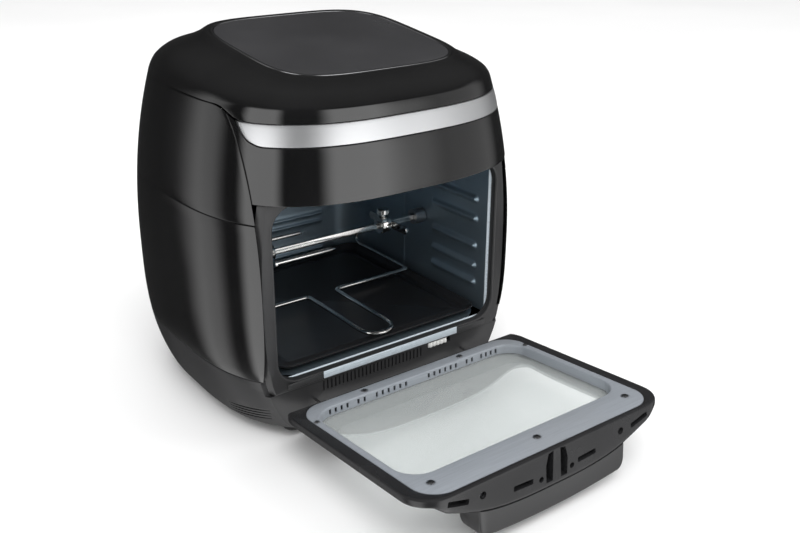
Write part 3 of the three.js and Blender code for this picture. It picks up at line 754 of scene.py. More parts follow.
def wire(path: Sequence[Point], radius: float, sides: int = 14, domed: bool = True) -> Mould:
    """Round wire along a path.

    Args:
        path: The centre line.
        radius: The wire's radius.
        sides: Sides of its section.
        domed: Round its two ends.

    Returns:
        The wire.
    """
    line = [Vector(p) for p in path]
    ways = [(line[min(i + 1, len(line) - 1)] - line[max(i - 1, 0)]).normalized() for i in range(len(line))]
    across = ways[0].orthogonal().normalized()
    rings: list[Ring] = []

    def ring(centre: Vector, size: float, u: Vector, v: Vector) -> Ring:
        """One section of the wire."""
        turn = [2 * math.pi * i / sides for i in range(sides)]
        return [tuple(centre + u * (size * math.cos(t)) + v * (size * math.sin(t))) for t in turn]

    for i, (centre, way) in enumerate(zip(line, ways)):
        across = (across - way * across.dot(way)).normalized()
        beside = way.cross(across)
        if domed and i == 0:
            rings += [
                ring(centre - way * radius * math.cos(a), radius * math.sin(a), across, beside)
                for a in (0.25, 0.7, 1.15)
            ]
        rings.append(ring(centre, radius, across, beside))
        if domed and i == len(line) - 1:
            rings += [
                ring(centre + way * radius * math.cos(a), radius * math.sin(a), across, beside)
                for a in (1.15, 0.7, 0.25)
            ]
    return Mould().stack(rings)


def ease(value: float, low: float, high: float) -> float:
    """A smooth step from 0 at low to 1 at high, for numbers."""
    t = min(1.0, max(0.0, (value - low) / (high - low)))
    return t * t * (3 - 2 * t)


# Placing --------------------------------------------------------------------------------------


@dataclass
class SubAssembly:
    """A group of pieces that ride on one body of the frame."""

    body: str = "housing"

    def place(
        self,
        name: str,
        shape: Mould,
        finish: Finish,
        slot: str,
        stands_for: Iterable[str] = (),
        cutters: Iterable[Mould] = (),
        bevel: float = 0.0,
        bevel_from: float = 40.0,
        turn: Optional[Matrix] = None,
        sharp: float = 38.0,
    ) -> bpy.types.Object:
        """Make a piece and set it on its body.

        Args:
            name: The piece's name.
            shape: Its surface.
            finish: Its finish.
            slot: The frame's material slot; not used.
            stands_for: Frame nodes that it replaces.
            cutters: Shapes cut out of it.
            bevel: Width of the rounding of its edges, in millimetres.
            bevel_from: Smallest edge angle that is rounded, in degrees.
            turn: A turn of shape and cutters, in millimetres.
            sharp: Edges sharper than this angle stay crisp.

        Returns:
            The piece.
        """
        turn = turn or Matrix.Identity(4)
        piece = bpy.data.objects.new(name, shape.moved(turn).mesh(name))
        bpy.context.scene.collection.objects.link(piece)
        tools = []
        for number, cutter in enumerate(cutters):
            tool = bpy.data.objects.new(f"{name}_cut{number}", cutter.moved(turn).mesh("cut"))
            bpy.context.scene.collection.objects.link(tool)
            tools.append(tool)
            cut = piece.modifiers.new("cut", "BOOLEAN")
            cut.operation, cut.solver, cut.object = "DIFFERENCE", "EXACT", tool
        if bevel:
            edge = piece.modifiers.new("edge", "BEVEL")
            edge.width, edge.segments, edge.limit_method = bevel * MM, 3, "ANGLE"
            edge.angle_limit = math.radians(bevel_from)
            edge.use_clamp_overlap = True
        if piece.modifiers:
            self.settle(piece)
        for tool in tools:
            bpy.data.objects.remove(tool)
        self.crisp(piece.data, sharp)
        piece.data.materials.clear()
        piece.data.materials.append(finish.material())
        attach(piece, self.body)
        if stands_for:
            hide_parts(*stands_for)
        LOG.info("%s: %s, %d faces", self.body, name, len(piece.data.polygons))
        return piece

    @staticmethod
    def settle(piece: bpy.types.Object) -> None:
        """Turn a piece's modifiers into its mesh, cut the second way where the first one fails.

        Args:
            piece: The piece.
        """
        whole = SubAssembly.volume(piece.data)
        cuts = [step for step in piece.modifiers if step.type == "BOOLEAN"]
        for solver in ("EXACT", "MANIFOLD"):
            for cut in cuts:
                cut.solver = solver
            ready = piece.evaluated_get(bpy.context.evaluated_depsgraph_get())
            made = bpy.data.meshes.new_from_object(ready)
            if 0 < SubAssembly.volume(made) < whole * 1.01:
                break
        piece.modifiers.clear()
        piece.data = made

    @staticmethod
    def volume(mesh: bpy.types.Mesh) -> float:
        """Volume inside a mesh, below nought where its faces look inward."""
        work = bmesh.new()
        work.from_mesh(mesh)
        found = work.calc_volume(signed=True)
        work.free()
        return found

    @staticmethod
    def crisp(mesh: bpy.types.Mesh, angle: float) -> None:
        """Shade smooth, apart from edges sharper than an angle in degrees."""
        work = bmesh.new()
        work.from_mesh(mesh)
        limit = math.radians(angle)
        for face in work.faces:
            face.smooth = True
        for edge in work.edges:
            edge.smooth = len(edge.link_faces) == 2 and edge.calc_face_angle(0.0) < limit
        work.to_mesh(mesh)
        work.free()

    def dress(self, finish: Finish, *nodes: str) -> None:
        """Give frame nodes that stay in view a finish.

        Args:
            finish: The finish.
            nodes: The frame nodes.
        """
        for node in nodes:
            shown = frame["nodes"][node]
            shown.data.materials.clear()
            shown.data.materials.append(finish.material())
            self.crisp(shown.data, 32.0)
            LOG.info("%s: %s dressed in %s", self.body, node, finish.name)


# The body -------------------------------------------------------------------------------------


@dataclass(frozen=True)
class BodyForm:
    """The outer form of the body: a rounded square that draws in towards top and foot."""

    half_width: float = 160.0
    half_depth: float = 162.0
    power: float = 3.0
    widest: float = 136.0
    foot: float = 10.0
    top: float = 326.0
    top_inset: float = 29.6
    top_power: float = 2.2
    bottom_inset: float = 19.0
    bottom_power: float = 3.27

    def drawn_in(self, z: float) -> float:
        """How far the outline has drawn in at a height."""
        if z > self.widest:
            return self.top_inset * ((z - self.widest) / (self.top - self.widest)) ** self.top_power
        share = (self.widest - z) / (self.widest - self.foot)
        return self.bottom_inset * max(share, 0.0) ** self.bottom_power

    def point(self, angle: float, z: float, inset: float = 0.0) -> Point:
        """A point of the form.

        Args:
            angle: Polar angle in radians, 0 at +x.
            z: Height.
            inset: Distance inside the surface.

        Returns:
            The point.
        """
        drawn = self.drawn_in(z) + inset
        a, b = self.half_width - drawn, self.half_depth - drawn
        c, s = math.cos(angle), math.sin(angle)
        r = (abs(c / a) ** self.power + abs(s / b) ** self.power) ** (-1 / self.power)
        return (r * c, r * s, z)

    def front(self, x: float, z: float, inset: float = 0.0) -> float:
        """Where the form's front face is, in y, at a place on it."""
        drawn = self.drawn_in(z) + inset
        share = min(abs(x) / (self.half_width - drawn), 1.0)
        return -(self.half_depth - drawn) * (1 - share**self.power) ** (1 / self.power)

    def half_at(self, y: float, z: float, inset: float = 0.0) -> float:
        """Half the form's width at a depth and a height."""
        drawn = self.drawn_in(z) + inset
        share = min(abs(y) / (self.half_depth - drawn), 1.0)
        return (self.half_width - drawn) * (1 - share**self.power) ** (1 / self.power)

    def rings(self, levels: Sequence[Flat], count: int = 144) -> list[Ring]:
        """Whole rings of the form.

        Args:
            levels: Inset and height of each ring.
            count: Points of each ring.

        Returns:
            The rings.
        """
        turns = [2 * math.pi * i / count for i in range(count)]
        return [[self.point(t, z, inset) for t in turns] for inset, z in levels]

    def sweep(
        self, section: Callable[[float, float], list[Flat]], cut: float, front: bool, count: int, level: float = 250.0
    ) -> Mould:
        """Sweep a closed section round part of the form, between two upright planes.

        Args:
            section: Closed run of inset and height for a place (x, y) on the outline.
            cut: The two planes stand at x = -cut and x = cut.
            front: Sweep across the front, not round the sides and back.
            count: Number of stations.
            level: Height at which the section's place is read.

        Returns:
            The swept wall.
        """
        stations = []
        for i in range(count + 1):
            share = i / count
            here = self.between(share, level, 0.0, cut, front)
            stations.append([self.between(share, z, inset, cut, front) for inset, z in section(here[0], here[1])])
        return Mould().stack(stations)

    def between(self, share: float, z: float, inset: float, cut: float, front: bool) -> Point:
        """A point of the form at a share of the way from the right plane to the left one."""
        edge = math.atan2(self.front(cut, z, inset), cut)
        first, last = edge, (-math.pi - edge if front else math.pi - edge)
        x, y, _ = self.point(first + (last - first) * share, z, inset)
        return (x, y, z)


FORM = BodyForm()


def wall_section(low: float, high: float, wall: float = 2.5, roll: float = 0.8, levels: int = 10) -> list[Flat]:
    """Section of a moulded wall whose outer edges are rolled in at a seam.

    Args:
        low: Lower edge.
        high: Upper edge.
        wall: Thickness.
        roll: Radius of the rolled edges.
        levels: Steps up the outer face.

    Returns:
        Closed run of inset and height.
    """
    arc = [(math.cos(a), math.sin(a)) for a in (0.0, 0.4, 0.8, 1.2, math.pi / 2)]
    outer = [(roll - roll * s, low + roll - roll * c) for c, s in arc]
    step = (high - low - 2 * roll) / levels
    outer += [(0.0, low + roll + step * i) for i in range(1, levels)]
    outer += [(roll - roll * s, high - roll + roll * c) for c, s in reversed(arc)]
    inner = [(wall, high - (high - low) * i / 4) for i in range(5)]
    return outer + inner


@dataclass
class Housing(SubAssembly):
    """Base pan, side shells and rear vent of the body."""

    seam_gap: float = 0.3
    base_seam: float = 63.0
    waist_seam: float = 205.0
    lid_seam: float = 294.0
    band_top: float = 284.1
    jamb: float = 134.0
    recess_y: float = -116.0
    recess_top: float = 48.0
    teeth: int = 27
    louvre_ribs: int = 4

    def lid_edge(self, y: float) -> float:
        """Height of the lid's seam, which dips at the front corners to meet the band."""
        return self.lid_seam - (self.lid_seam - self.band_top - self.seam_gap) * ease(-y, 64.0, 93.0)

    def build(self) -> None:
        """Build the housing's shells."""
        self.build_base()
        half = self.seam_gap / 2
        lower = wall_section(self.base_seam + half, self.waist_seam - half, levels=16)
        shell = FORM.sweep(lambda x, y: lower, self.jamb, False, 150)
        self.place("lower_side_shell", shell, GLOSS_BLACK, "gloss_black", ["lower_shell"], bevel=0.7, bevel_from=60)

        def upper(x: float, y: float) -> list[Flat]:
            """The upper wall's section, which follows the lid's seam."""
            return wall_section(self.waist_seam + half, self.lid_edge(y) - half, levels=14)

        shell = FORM.sweep(upper, self.jamb, False, 150, 290.0)
        vent = Mould().stack([rounded_plate(52, 226, 270, 6, y) for y in (80, 200)])
        self.place("upper_side_shell", shell, GLOSS_BLACK, "gloss_black", ["upper_shell"], [vent], 0.7, 60)

    def build_base(self) -> None:
        """Build the base pan with its recess, foot rounding, ledge teeth and side louvres."""
        top = self.base_seam - self.seam_gap / 2
        foot = [(3.2 - 3.2 * math.sin(a), 13.2 - 3.2 * math.cos(a)) for a in (0, 0.35, 0.7, 1.05, 1.3, 1.57)]
        levels = [(8.0, 10.0), *foot, *[(0.0, 13.2 + (top - 14.0) * i / 10) for i in range(1, 10)]]
        levels += [(0.0, top - 0.8), (0.1, top - 0.4), (0.4, top - 0.1), (0.8, top)]
        outer = Mould().stack(FORM.rings(levels))
        hollow = Mould().stack(FORM.rings([(3, 13 + (top - 11) * i / 8) for i in range(9)]))
        jamb, wall_y = self.jamb, self.recess_y
        gap = block((-jamb, jamb), (-200, wall_y), (0, 100))
        trim = block((-jamb - 4, jamb + 4), (-200, wall_y + 4), (self.recess_top, 100))
        slot = block((42.4, 70.0), (-120, -110), (42.9, 60))
        gland = turned([(9.4, 130), (9.4, 170)], "y", (62, 40))
        cutters = [gap, self.base_hollow(hollow, wall_y + 3), trim, slot, gland, self.ledge_teeth(), self.louvres()]
        self.place("base_pan_shell", outer, MATTE_BLACK, "matte_black", ["base_pan"], cutters, 0.5, 55)

    def base_hollow(self, hollow: Mould, rear: float) -> Mould:
        """The room inside the base, which stops short of the recess wall.

        Args:
            hollow: The room without that wall.
            rear: The rear face of the wall.

        Returns:
            The room.
        """
        half = self.jamb + 3
        made = Mould()
        made.faces = list(hollow.faces)
        made.points = [(x, max(y, rear) if abs(x) < half + 2 and y < 0 else y, z) for x, y, z in hollow.points]
        return made

    def ledge_teeth(self) -> Mould:
        """Fine upright slots in the ledge below the opening."""
        made = Mould()
        for i in range(self.teeth):
            x = -76 + i * 4.2
            made.with_(block((x, x + 1.6), (self.recess_y - 1, self.recess_y + 1.2), (37, 46.5)))
        return made

    def louvres(self) -> Mould:
        """Slanted air slots low on both front corners of the base."""
        made = Mould()
        for side in Side:
            for i in range(self.louvre_ribs):
                low = 14.5 + i * 3.4
                run = []
                for k in range(13):
                    share = k / 12
                    angle = math.radians(180 + 24 + 17 * share)
                    rise = low + 7 * share
                    thick = 1.5 * math.sin(math.pi * min(max(share, 0.04), 0.96)) ** 0.5
                    ring = [
                        FORM.point(angle, rise + dz * thick, inset)
                        for inset, dz in ((-2.0, -0.5), (1.8, -0.5), (1.8, 0.5), (-2.0, 0.5))
                    ]
                    run.append([(-side.value * x, y, z) if side is Side.RIGHT else (x, y, z) for x, y, z in ring])
                made.with_(Mould().stack(run))
        return made

    def dress_frame(self) -> None:
        """Dress the frame nodes of the housing that stay in view."""
        self.dress(MATTE_BLACK, "rear_vent_cover")
        self.dress(RUBBER, "cord_gland")
        self.dress(DULL_STEEL, "air_shroud", "fan_motor", "rotisserie_motor", "thermal_sensor")
        self.dress(HEATER_STEEL, "heater_element")
        self.dress(CIRCUIT, "control_board", "power_board")
        self.dress(WHITE_PLASTIC, "door_switch")

    def build_feet(self) -> None:
        """Build the four rubber feet."""
        profile = [(7.6, 0.0), (8.6, 0.3), (9.0, 1.0), (9.6, 5.0), (10.0, 8.2), (10.0, 9.7)]
        for front in (True, False):
            for side in Side:
                where = f"{'front' if front else 'rear'}_{side.word}"
                place = (98 * side.value, -98 if front else 98)
                foot = turned([(5.5, 0.9), (6.6, 0.9), (7.0, 0.1), *profile], "z", place, 40)
                self.place(f"rubber_{where}", foot, RUBBER, "rubber", [f"foot_{where}"], sharp=50)


@dataclass
class Lid(SubAssembly):
    """The top cover with its drawn-in shoulder, and the touch panel set into it."""

    half_width: float = 93.0
    half_depth: float = 88.0
    power: float = 4.1
    y: float = -23.4
    height: float = 325.9
    tilt_deg: float = 7.4
    rim: float = 4.0
    seat: float = 2.9
    trim: float = 2.2
    shoulder: tuple[Flat, ...] = (
        (0.0, 0.0),
        (0.05, 0.16),
        (0.16, 0.36),
        (0.38, 0.56),
        (0.64, 0.7),
        (0.84, 0.84),
        (0.94, 0.94),
        (1.0, 1.0),
    )

    def slope(self) -> float:
        """Rise of the panel's plane towards the back."""
        return math.tan(math.radians(self.tilt_deg))

    def shoulder_ring(self, drawn: float, rise: float) -> Ring:
        """One ring of the shoulder.

        Args:
            drawn: 0 at the body's side, 1 at the panel's rim.
            rise: 0 at the lid's seam, 1 at the rim.

        Returns:
            The ring.
        """
        low = 294.15
        edge = FORM.drawn_in(294.0)
        width = FORM.half_width - edge + (self.half_width + self.rim - FORM.half_width + edge) * drawn
        depth = FORM.half_depth - edge + (self.half_depth + self.rim - FORM.half_depth + edge) * drawn
        power = FORM.power + (self.power - FORM.power) * drawn
        return [
            (x, y + self.y * drawn, low + (self.height - low) * rise + self.slope() * y * rise)
            for x, y in superellipse(width, depth, power)
        ]

    def level(self, inset: float, z: float) -> Ring:
        """A ring of the panel's outline in the panel's own plane."""
        outline = superellipse(self.half_width - inset, self.half_depth - inset, self.power)
        return [(x, y, z) for x, y in outline]

    def tilted(self) -> Matrix:
        """Turn of the panel's own plane to its place on the lid."""
        return Matrix.Translation((0, self.y, self.height)) @ Matrix.Rotation(math.radians(self.tilt_deg), 4, "X")

    def build(self, housing: Housing) -> None:
        """Build the cover, the trim ring and the glass.

        Args:
            housing: The housing, for the lid's seam.
        """
        tilt = self.tilted()

        def laid(ring: Ring) -> Ring:
            """A ring of the panel's plane, set in place."""
            return [tuple(tilt @ Vector(p)) for p in ring]

        turns = [2 * math.pi * i / 144 for i in range(144)]
        edge = [FORM.point(t, 290.0) for t in turns]
        seam = [housing.lid_edge(p[1]) + 0.15 for p in edge]
        skirt = []
        for inset, lift in ((3.0, 0.0), (0.8, 0.0), (0.25, 0.25), (0.0, 0.8)):
            skirt.append([FORM.point(t, z + lift, inset) for t, z in zip(turns, seam)])
        mid = [FORM.point(t, max(z + 1.0, 292.0 + 0.5 * (z - 284.0) / 10)) for t, z in zip(turns, seam)]
        steps = smooth_run(self.shoulder, 4)
        shoulder = [self.shoulder_ring(drawn, rise) for drawn, rise in steps if 0.02 < rise < 0.992]
        top = [laid(self.level(-self.rim + inset, z)) for inset, z in ((0.1, -0.7), (0.5, -0.2), (1.1, 0.0))]
        lip = ((-0.7, 0.0), (-0.35, -0.15), (-0.25, -0.6), (-0.25, -self.seat), (8.0, -self.seat))
        inner = [laid(self.level(inset, z)) for inset, z in lip]
        roof = [
            [(x * 0.9, y * 0.9, z - 8.0) for x, y, z in self.shoulder_ring(0.9, 0.9)],
            [(x, y, z - 6.0) for x, y, z in [FORM.point(t, 296.0, 3.0) for t in turns]],
        ]
        rings = list(reversed(inner)) + list(reversed(top)) + list(reversed(shoulder)) + [mid]
        rings += list(reversed(skirt)) + list(reversed(roof))
        cover = Mould().stack(rings)
        self.place("lid_cover", cover, GLOSS_BLACK, "gloss_black", ["top_cover"], sharp=50)
        bead = [(0.0, -2.7), (0.0, 0.05), (0.25, 0.33), (0.7, 0.4), (1.5, 0.4), (1.95, 0.3), (2.2, 0.0), (2.2, -2.7)]
        ring = Mould().stack([self.level(inset, z) for inset, z in bead], loop=True)
        self.place("panel_ring", ring, TRIM_SILVER, "chrome", ["panel_trim_ring"], turn=tilt, sharp=60)
        sheet = [(2.5, -2.7), (2.5, -0.5), (2.6, -0.2), (2.85, 0.0), (3.3, 0.1)]
        glass = Mould().stack([self.level(inset, z) for inset, z in sheet])
        self.place("touch_panel", glass, TOUCH_GLASS, "touch_glass", ["control_glass"], turn=tilt, sharp=50)


@dataclass
class Front(SubAssembly):
    """The fascia above the door and the brushed band round the lid's front."""

    low: float = 222.0
    band_low: float = 267.4
    band_high: float = 284.1
    band_half: float = 130.0
    corner: float = 9.5
    half: float = 133.97
    floor_half: float = 129.0
    wall: float = 2.5

    def band_edge(self, x: float) -> float:
        """Height of the band's lower edge, which curves up at its ends."""
        share = (abs(x) - self.band_half + self.corner) / self.corner
        if share <= 0:
            return self.band_low
        return self.band_low + 9.0 * (1 - math.sqrt(max(0.0, 1 - min(share, 1.0) ** 2)))

    def fascia_edge(self, x: float, housing: Housing) -> float:
        """Height of the fascia's upper edge, which fills in beside the band up to the lid's seam."""
        if abs(x) > self.band_half + 0.3:
            return housing.lid_edge(FORM.front(x, 288.0, 0.0)) - 0.25
        return self.band_edge(x) - 0.4

    def build(self, housing: Housing) -> None:
        """Build the fascia and the band.

        Args:
            housing: The housing, for the lid's seam.
        """

        def face(x: float, y: float) -> list[Flat]:
            """The fascia's section."""
            return wall_section(self.low, self.fascia_edge(x, housing), self.wall, 0.7, 8)

        shell = FORM.sweep(face, self.half, True, 160)
        reach, rear = self.floor_half, -114.6
        xs = [-reach + 2 * reach * i / 60 for i in range(61)]
        rim = [(x, FORM.front(x, self.low, 1.8)) for x in xs] + [(reach, rear), (-reach, rear)]
        floor = Mould().stack([[(x, y, z) for x, y in rim] for z in (self.low + 0.4, self.low + 2.3)])
        slots = [block((x - 3.2, x + 3.2), (-142, -126), (200, 230)) for x in (-7.5, 7.5)]
        self.place("fascia", shell, GLOSS_BLACK, "gloss_black", ["front_fascia"], sharp=45)
        self.place("fascia_floor", floor, MATTE_BLACK, "matte_black", [], slots)

        def strip(x: float, y: float) -> list[Flat]:
            """The band's section, a little proud in its middle."""
            low = self.band_edge(x)
            run = wall_section(low, self.band_high, self.wall, 0.5, 6)
            tall = self.band_high - low
            return [(i - 0.25 * math.sin(math.pi * (z - low) / tall) if i < 0.4 else i, z) for i, z in run]

        band = FORM.sweep(strip, self.band_half, True, 170)
        self.place("brushed_band", band, BRUSHED_SILVER, "brushed_silver", ["silver_band"], sharp=45)


@dataclass
class Opening(SubAssembly):
    """The frame round the cavity's mouth, with its sill, ledge, release thumb and hinges."""

    half_width: float = 120.0
    low: float = 57.5
    high: float = 216.0
    radius: float = 20.0
    y: float = -117.0
    depth: float = 6.0

    def outer(self, inset: float, y: float) -> Ring:
        """The bezel's outer edge, kept inside the shells."""
        ring = rounded_plate(133.9 - inset, 48.3 + inset, 221.7 - inset, 10.0, y)
        return [(math.copysign(min(abs(x), FORM.half_at(y, z, 3.4)), x), v, z) for x, v, z in ring]

    def hole(self, grown: float, y: float) -> Ring:
        """The bezel's inner edge, grown outward."""
        return rounded_plate(self.half_width + grown, self.low - grown, self.high + grown, self.radius + grown, y)

    def build(self) -> None:
        """Build the bezel and the sill."""
        y = self.y
        rings = [
            self.outer(0.0, y + self.depth),
            self.outer(0.0, y + 0.7),
            self.outer(0.3, y + 0.2),
            self.outer(1.0, y),
            self.hole(3.2, y),
            self.hole(2.6, y - 0.35),
            self.hole(1.6, y - 0.5),
            self.hole(0.7, y - 0.3),
            self.hole(0.15, y + 0.5),
            self.hole(0.0, y + 1.6),
            self.hole(0.0, y + self.depth),
        ]
        room = block((-16.5, 16.5), (-130, -100), (221, 260))
        bezel = Mould().stack(rings, loop=True)
        self.place("mouth_bezel", bezel, SATIN_GREY, "satin_grey", ["opening_bezel"], [room], sharp=45)
        sill = block((-76, 76), (-118.6, -117.4), (50.5, 57.2))
        # The sill strip's pale steel is a painted highlight on the cavity steel.
        self.place("sill_strip", sill, LIT_CAVITY_STEEL, "cavity_steel", ["floor_strip"], bevel=0.35)
        for side in Side:
            ends = sorted((side.value * 77.0, side.value * 112.0))
            lip = block((ends[0], ends[1]), (-118.3, -117.2), (50.8, 55.6))
            self.place(f"sill_end_{side.word}", lip, SATIN_GREY, "satin_grey", bevel=0.45)
            self.build_hinge(side)

    def build_hinge(self, side: Side) -> None:
        """Build one hinge bracket.

        Args:
            side: Its side.
        """
        x0, x1 = sorted((side.value * 80.0, side.value * 88.0))
        middle = (x0 + x1) / 2
        eye = turned([(7.2, x0), (8.0, x0 + 0.8), (8.0, x1 - 0.8), (7.2, x1)], "x", (HINGE.y, HINGE.z), 40)
        arm = block((x0 + 0.3, x1 - 0.3), (HINGE.y, -116.2), (HINGE.z - 8, HINGE.z + 5.6))
        rib = block((middle - 1.2, middle + 1.2), (-131, -116.2), (HINGE.z + 5, HINGE.z + 6))
        bore = turned([(3.3, x0 - 4), (3.3, x1 + 4)], "x", (HINGE.y, HINGE.z), 32)
        self.place(
            f"hinge_arm_{side.word}",
            eye.with_(arm, rib),
            RIM_BLACK,
            "matte_black",
            [f"hinge_bracket_{side.word}"],
            [bore],
            bevel=0.3,
            bevel_from=60,
        )


@dataclass
class ReleaseThumb(SubAssembly):
    """The ridged white thumb slide under the sill."""

    body: str = "release"
    x: float = 54.0
    width: float = 22.0
    ridges: int = 5

    def build(self) -> None:
        """Build the slide with its ridges."""
        low, high = self.x - self.width / 2, self.x + self.width / 2
        shape = block((low, high), (-116.6, -112.0), (43.4, 48.2))
        pitch = self.width / self.ridges
        profile = [(0.6, 43.4), (1.55, 44.1), (1.7, 45.0), (1.7, 46.8), (1.4, 47.8), (0.6, 48.2)]
        for i in range(self.ridges):
            shape.with_(turned(profile, "z", (low + pitch * (i + 0.5), -116.6), 16))
        self.place("thumb_slide", shape, WHITE_PLASTIC, "white_plastic", ["release_thumb"], bevel=0.25, bevel_from=60)


@dataclass
class Latch(SubAssembly):
    """The two hooks that hold the door shut."""

    body: str = "latch"

    def build(self) -> None:
        """Dress the hooks, which hang in the dark under the fascia."""
        self.dress(RIM_BLACK, "latch_hooks")


# The cavity -----------------------------------------------------------------------------------


@dataclass
class Cavity(SubAssembly):
    """The steel box that the food turns in, with its pressed ribs, roof guard and bearings."""

    half_width: float = 118.0
    back: float = 120.0
    front: float = -109.0
    floor: float = 58.0
    ceiling: float = 218.0
    corner: float = 30.0
    sheet: float = 1.2
    rear_ribs: tuple[float, ...] = (65.5, 74.0, 98.0, 107.0, 131.0, 140.0, 164.0, 173.0, 197.0, 206.0)
    side_ribs: tuple[float, ...] = (85.0, 103.0, 124.0, 152.0, 172.0)
    rear_rib: tuple[float, float, float] = (76.0, 3.2, 1.9)
    side_rib: tuple[float, float, float] = (36.5, 5.0, 3.2)
    seam_y: float = 22.0

    @staticmethod
    def pressed(along: float, across: float, form: tuple[float, float, float]) -> float:
        """Height of a pressed rib at a place.

        Args:
            along: Distance from the rib's middle along it.
            across: Distance from its line.
            form: Half length, half width and height of the rib.

        Returns:
            How far the sheet stands in.
        """
        half, width, height = form
        reach = math.hypot(max(abs(along) - half + width, 0.0), across) / width
        return height * (math.cos(math.pi * min(reach, 1.0)) + 1) / 2

    def relief(self, wall: str, u: float, z: float) -> float:
        """How far the sheet stands in at a place on a wall."""
        if wall == "rear":
            return max(self.pressed(u, z - rib, self.rear_rib) for rib in self.rear_ribs)
        if wall == "side":
            ribs = max(self.pressed(u + 60.5, z - rib, self.side_rib) for rib in self.side_ribs)
            return ribs - 0.7 * max(0.0, 1 - abs(u - self.seam_y) / 0.9)
        return 0.0

    def stations(self) -> list[tuple[str, float, float, float, float, float]]:
        """Places round the walls: wall, run, x, y and the inward direction."""
        sides = [-109, -108, -105, -102, -99, *[-97 + 0.8 * i for i in range(9)], -88, -80, -70, -60, -50, -42]
        sides += [-36 + 1.6 * i for i in range(10)] + [-12, 0, 12, 20, 21.1, 21.5, 22, 22.5, 22.9, 24, 32, 48, 66]
        rear_half = [0, 12, 24, 36, 48, 58, 66, *[70 + 0.75 * i for i in range(9)], 78, 82]
        edge_y, edge_x = self.back - self.corner, self.half_width - self.corner
        made = [("side", y, self.half_width, y, -1.0, 0.0) for y in sides]
        turn = [math.radians(90 * i / 16) for i in range(17)]
        for a in turn:
            c, s = math.cos(a), math.sin(a)
            made.append(("corner", 0, edge_x + self.corner * c, edge_y + self.corner * s, -c, -s))
        xs = sorted({*rear_half, *[-x for x in rear_half]}, reverse=True)
        made += [("rear", x, x, self.back, 0.0, -1.0) for x in xs]
        for a in reversed(turn):
            c, s = math.cos(a), math.sin(a)
            made.append(("corner", 0, -edge_x - self.corner * c, edge_y + self.corner * s, c, -s))
        made += [("side", y, -self.half_width, y, 1.0, 0.0) for y in reversed(sides)]
        return made

    def levels(self) -> list[float]:
        """Heights of the wall's rows, close together over every rib."""
        found = {self.floor, self.ceiling, *[self.floor + 8.0 * i for i in range(1, 20)]}
        for ribs, width in ((self.rear_ribs, self.rear_rib[1]), (self.side_ribs, self.side_rib[1])):
            for rib in ribs:
                found |= {rib + width * k / 4 for k in range(-4, 5)}
        rows: list[float] = []
        for z in sorted(found):
            if self.floor <= z <= self.ceiling and (not rows or z - rows[-1] > 0.45):
                rows.append(z)
        rows[-1] = self.ceiling
        return rows

    def walls(self) -> Mould:
        """The wall sheet, pressed in one run from one side round the back to the other."""
        rows = self.levels()
        sections = []
        for wall, u, x, y, nx, ny in self.stations():
            inner = []
            for z in rows:
                d = self.relief(wall, u, z)
                inner.append((x + nx * d, y + ny * d, z))
            outer = [(x - nx * self.sheet, y - ny * self.sheet, z) for z in (self.ceiling, 140.0, self.floor)]
            sections.append(inner + outer)
        return Mould().stack(sections)

    def build(self) -> None:
        """Build the liner and dress what sits in it."""
        liner = self.walls()
        self.place(
            "cavity_walls",
            liner,
            CAVITY_STEEL,
            "cavity_steel",
            ["cavity_liner", "rack_runner_left", "rack_runner_right"],
            sharp=50,
        )
        half, back = self.half_width + 0.4, self.back + 0.4
        floor = Mould().stack([flat_plate(half, self.front, back, self.corner, z) for z in (56.8, 58.0)])
        self.place("cavity_floor", floor, CAVITY_STEEL, "cavity_steel")
        hole = turned([(80, 210), (80, 225)], "z", (0, 5), 72)
        roof = Mould().stack([flat_plate(half, self.front, back, self.corner, z) for z in (218.0, 219.2)])
        self.place("cavity_roof", roof, CAVITY_STEEL, "cavity_steel", [], [hole])
        rings = [
            rounded_plate(128, 52, 221, 12, -109.0),
            rounded_plate(128, 52, 221, 12, -110.4),
            rounded_plate(118.9, 57.1, 218.9, 3, -110.4),
            rounded_plate(118.2, 57.8, 218.2, 3, -109.9),
            rounded_plate(118.0, 58.0, 218.0, 3, -109.0),
        ]
        # The flange's pale steel paints the bright line where light catches its edge.
        self.place("mouth_flange", Mould().stack(rings, loop=True), LIT_CAVITY_STEEL, "cavity_steel", sharp=50)
        self.dress(DULL_STEEL, "heater_guard", "spit_bearing")


@dataclass
class Blower(SubAssembly):
    """The air wheel, the cooling wheel and their shaft over the cavity."""

    body: str = "fan"

    def build(self) -> None:
        """Dress the wheels and the shaft."""
        self.dress(DULL_STEEL, "convection_fan", "fan_shaft")
        self.dress(WHITE_PLASTIC, "cooling_fan")


@dataclass
class Drive(SubAssembly):
    """The coupler that turns the spit."""

    body: str = "drive"

    def build(self) -> None:
        """Dress the coupler."""
        self.dress(DULL_STEEL, "drive_coupler")


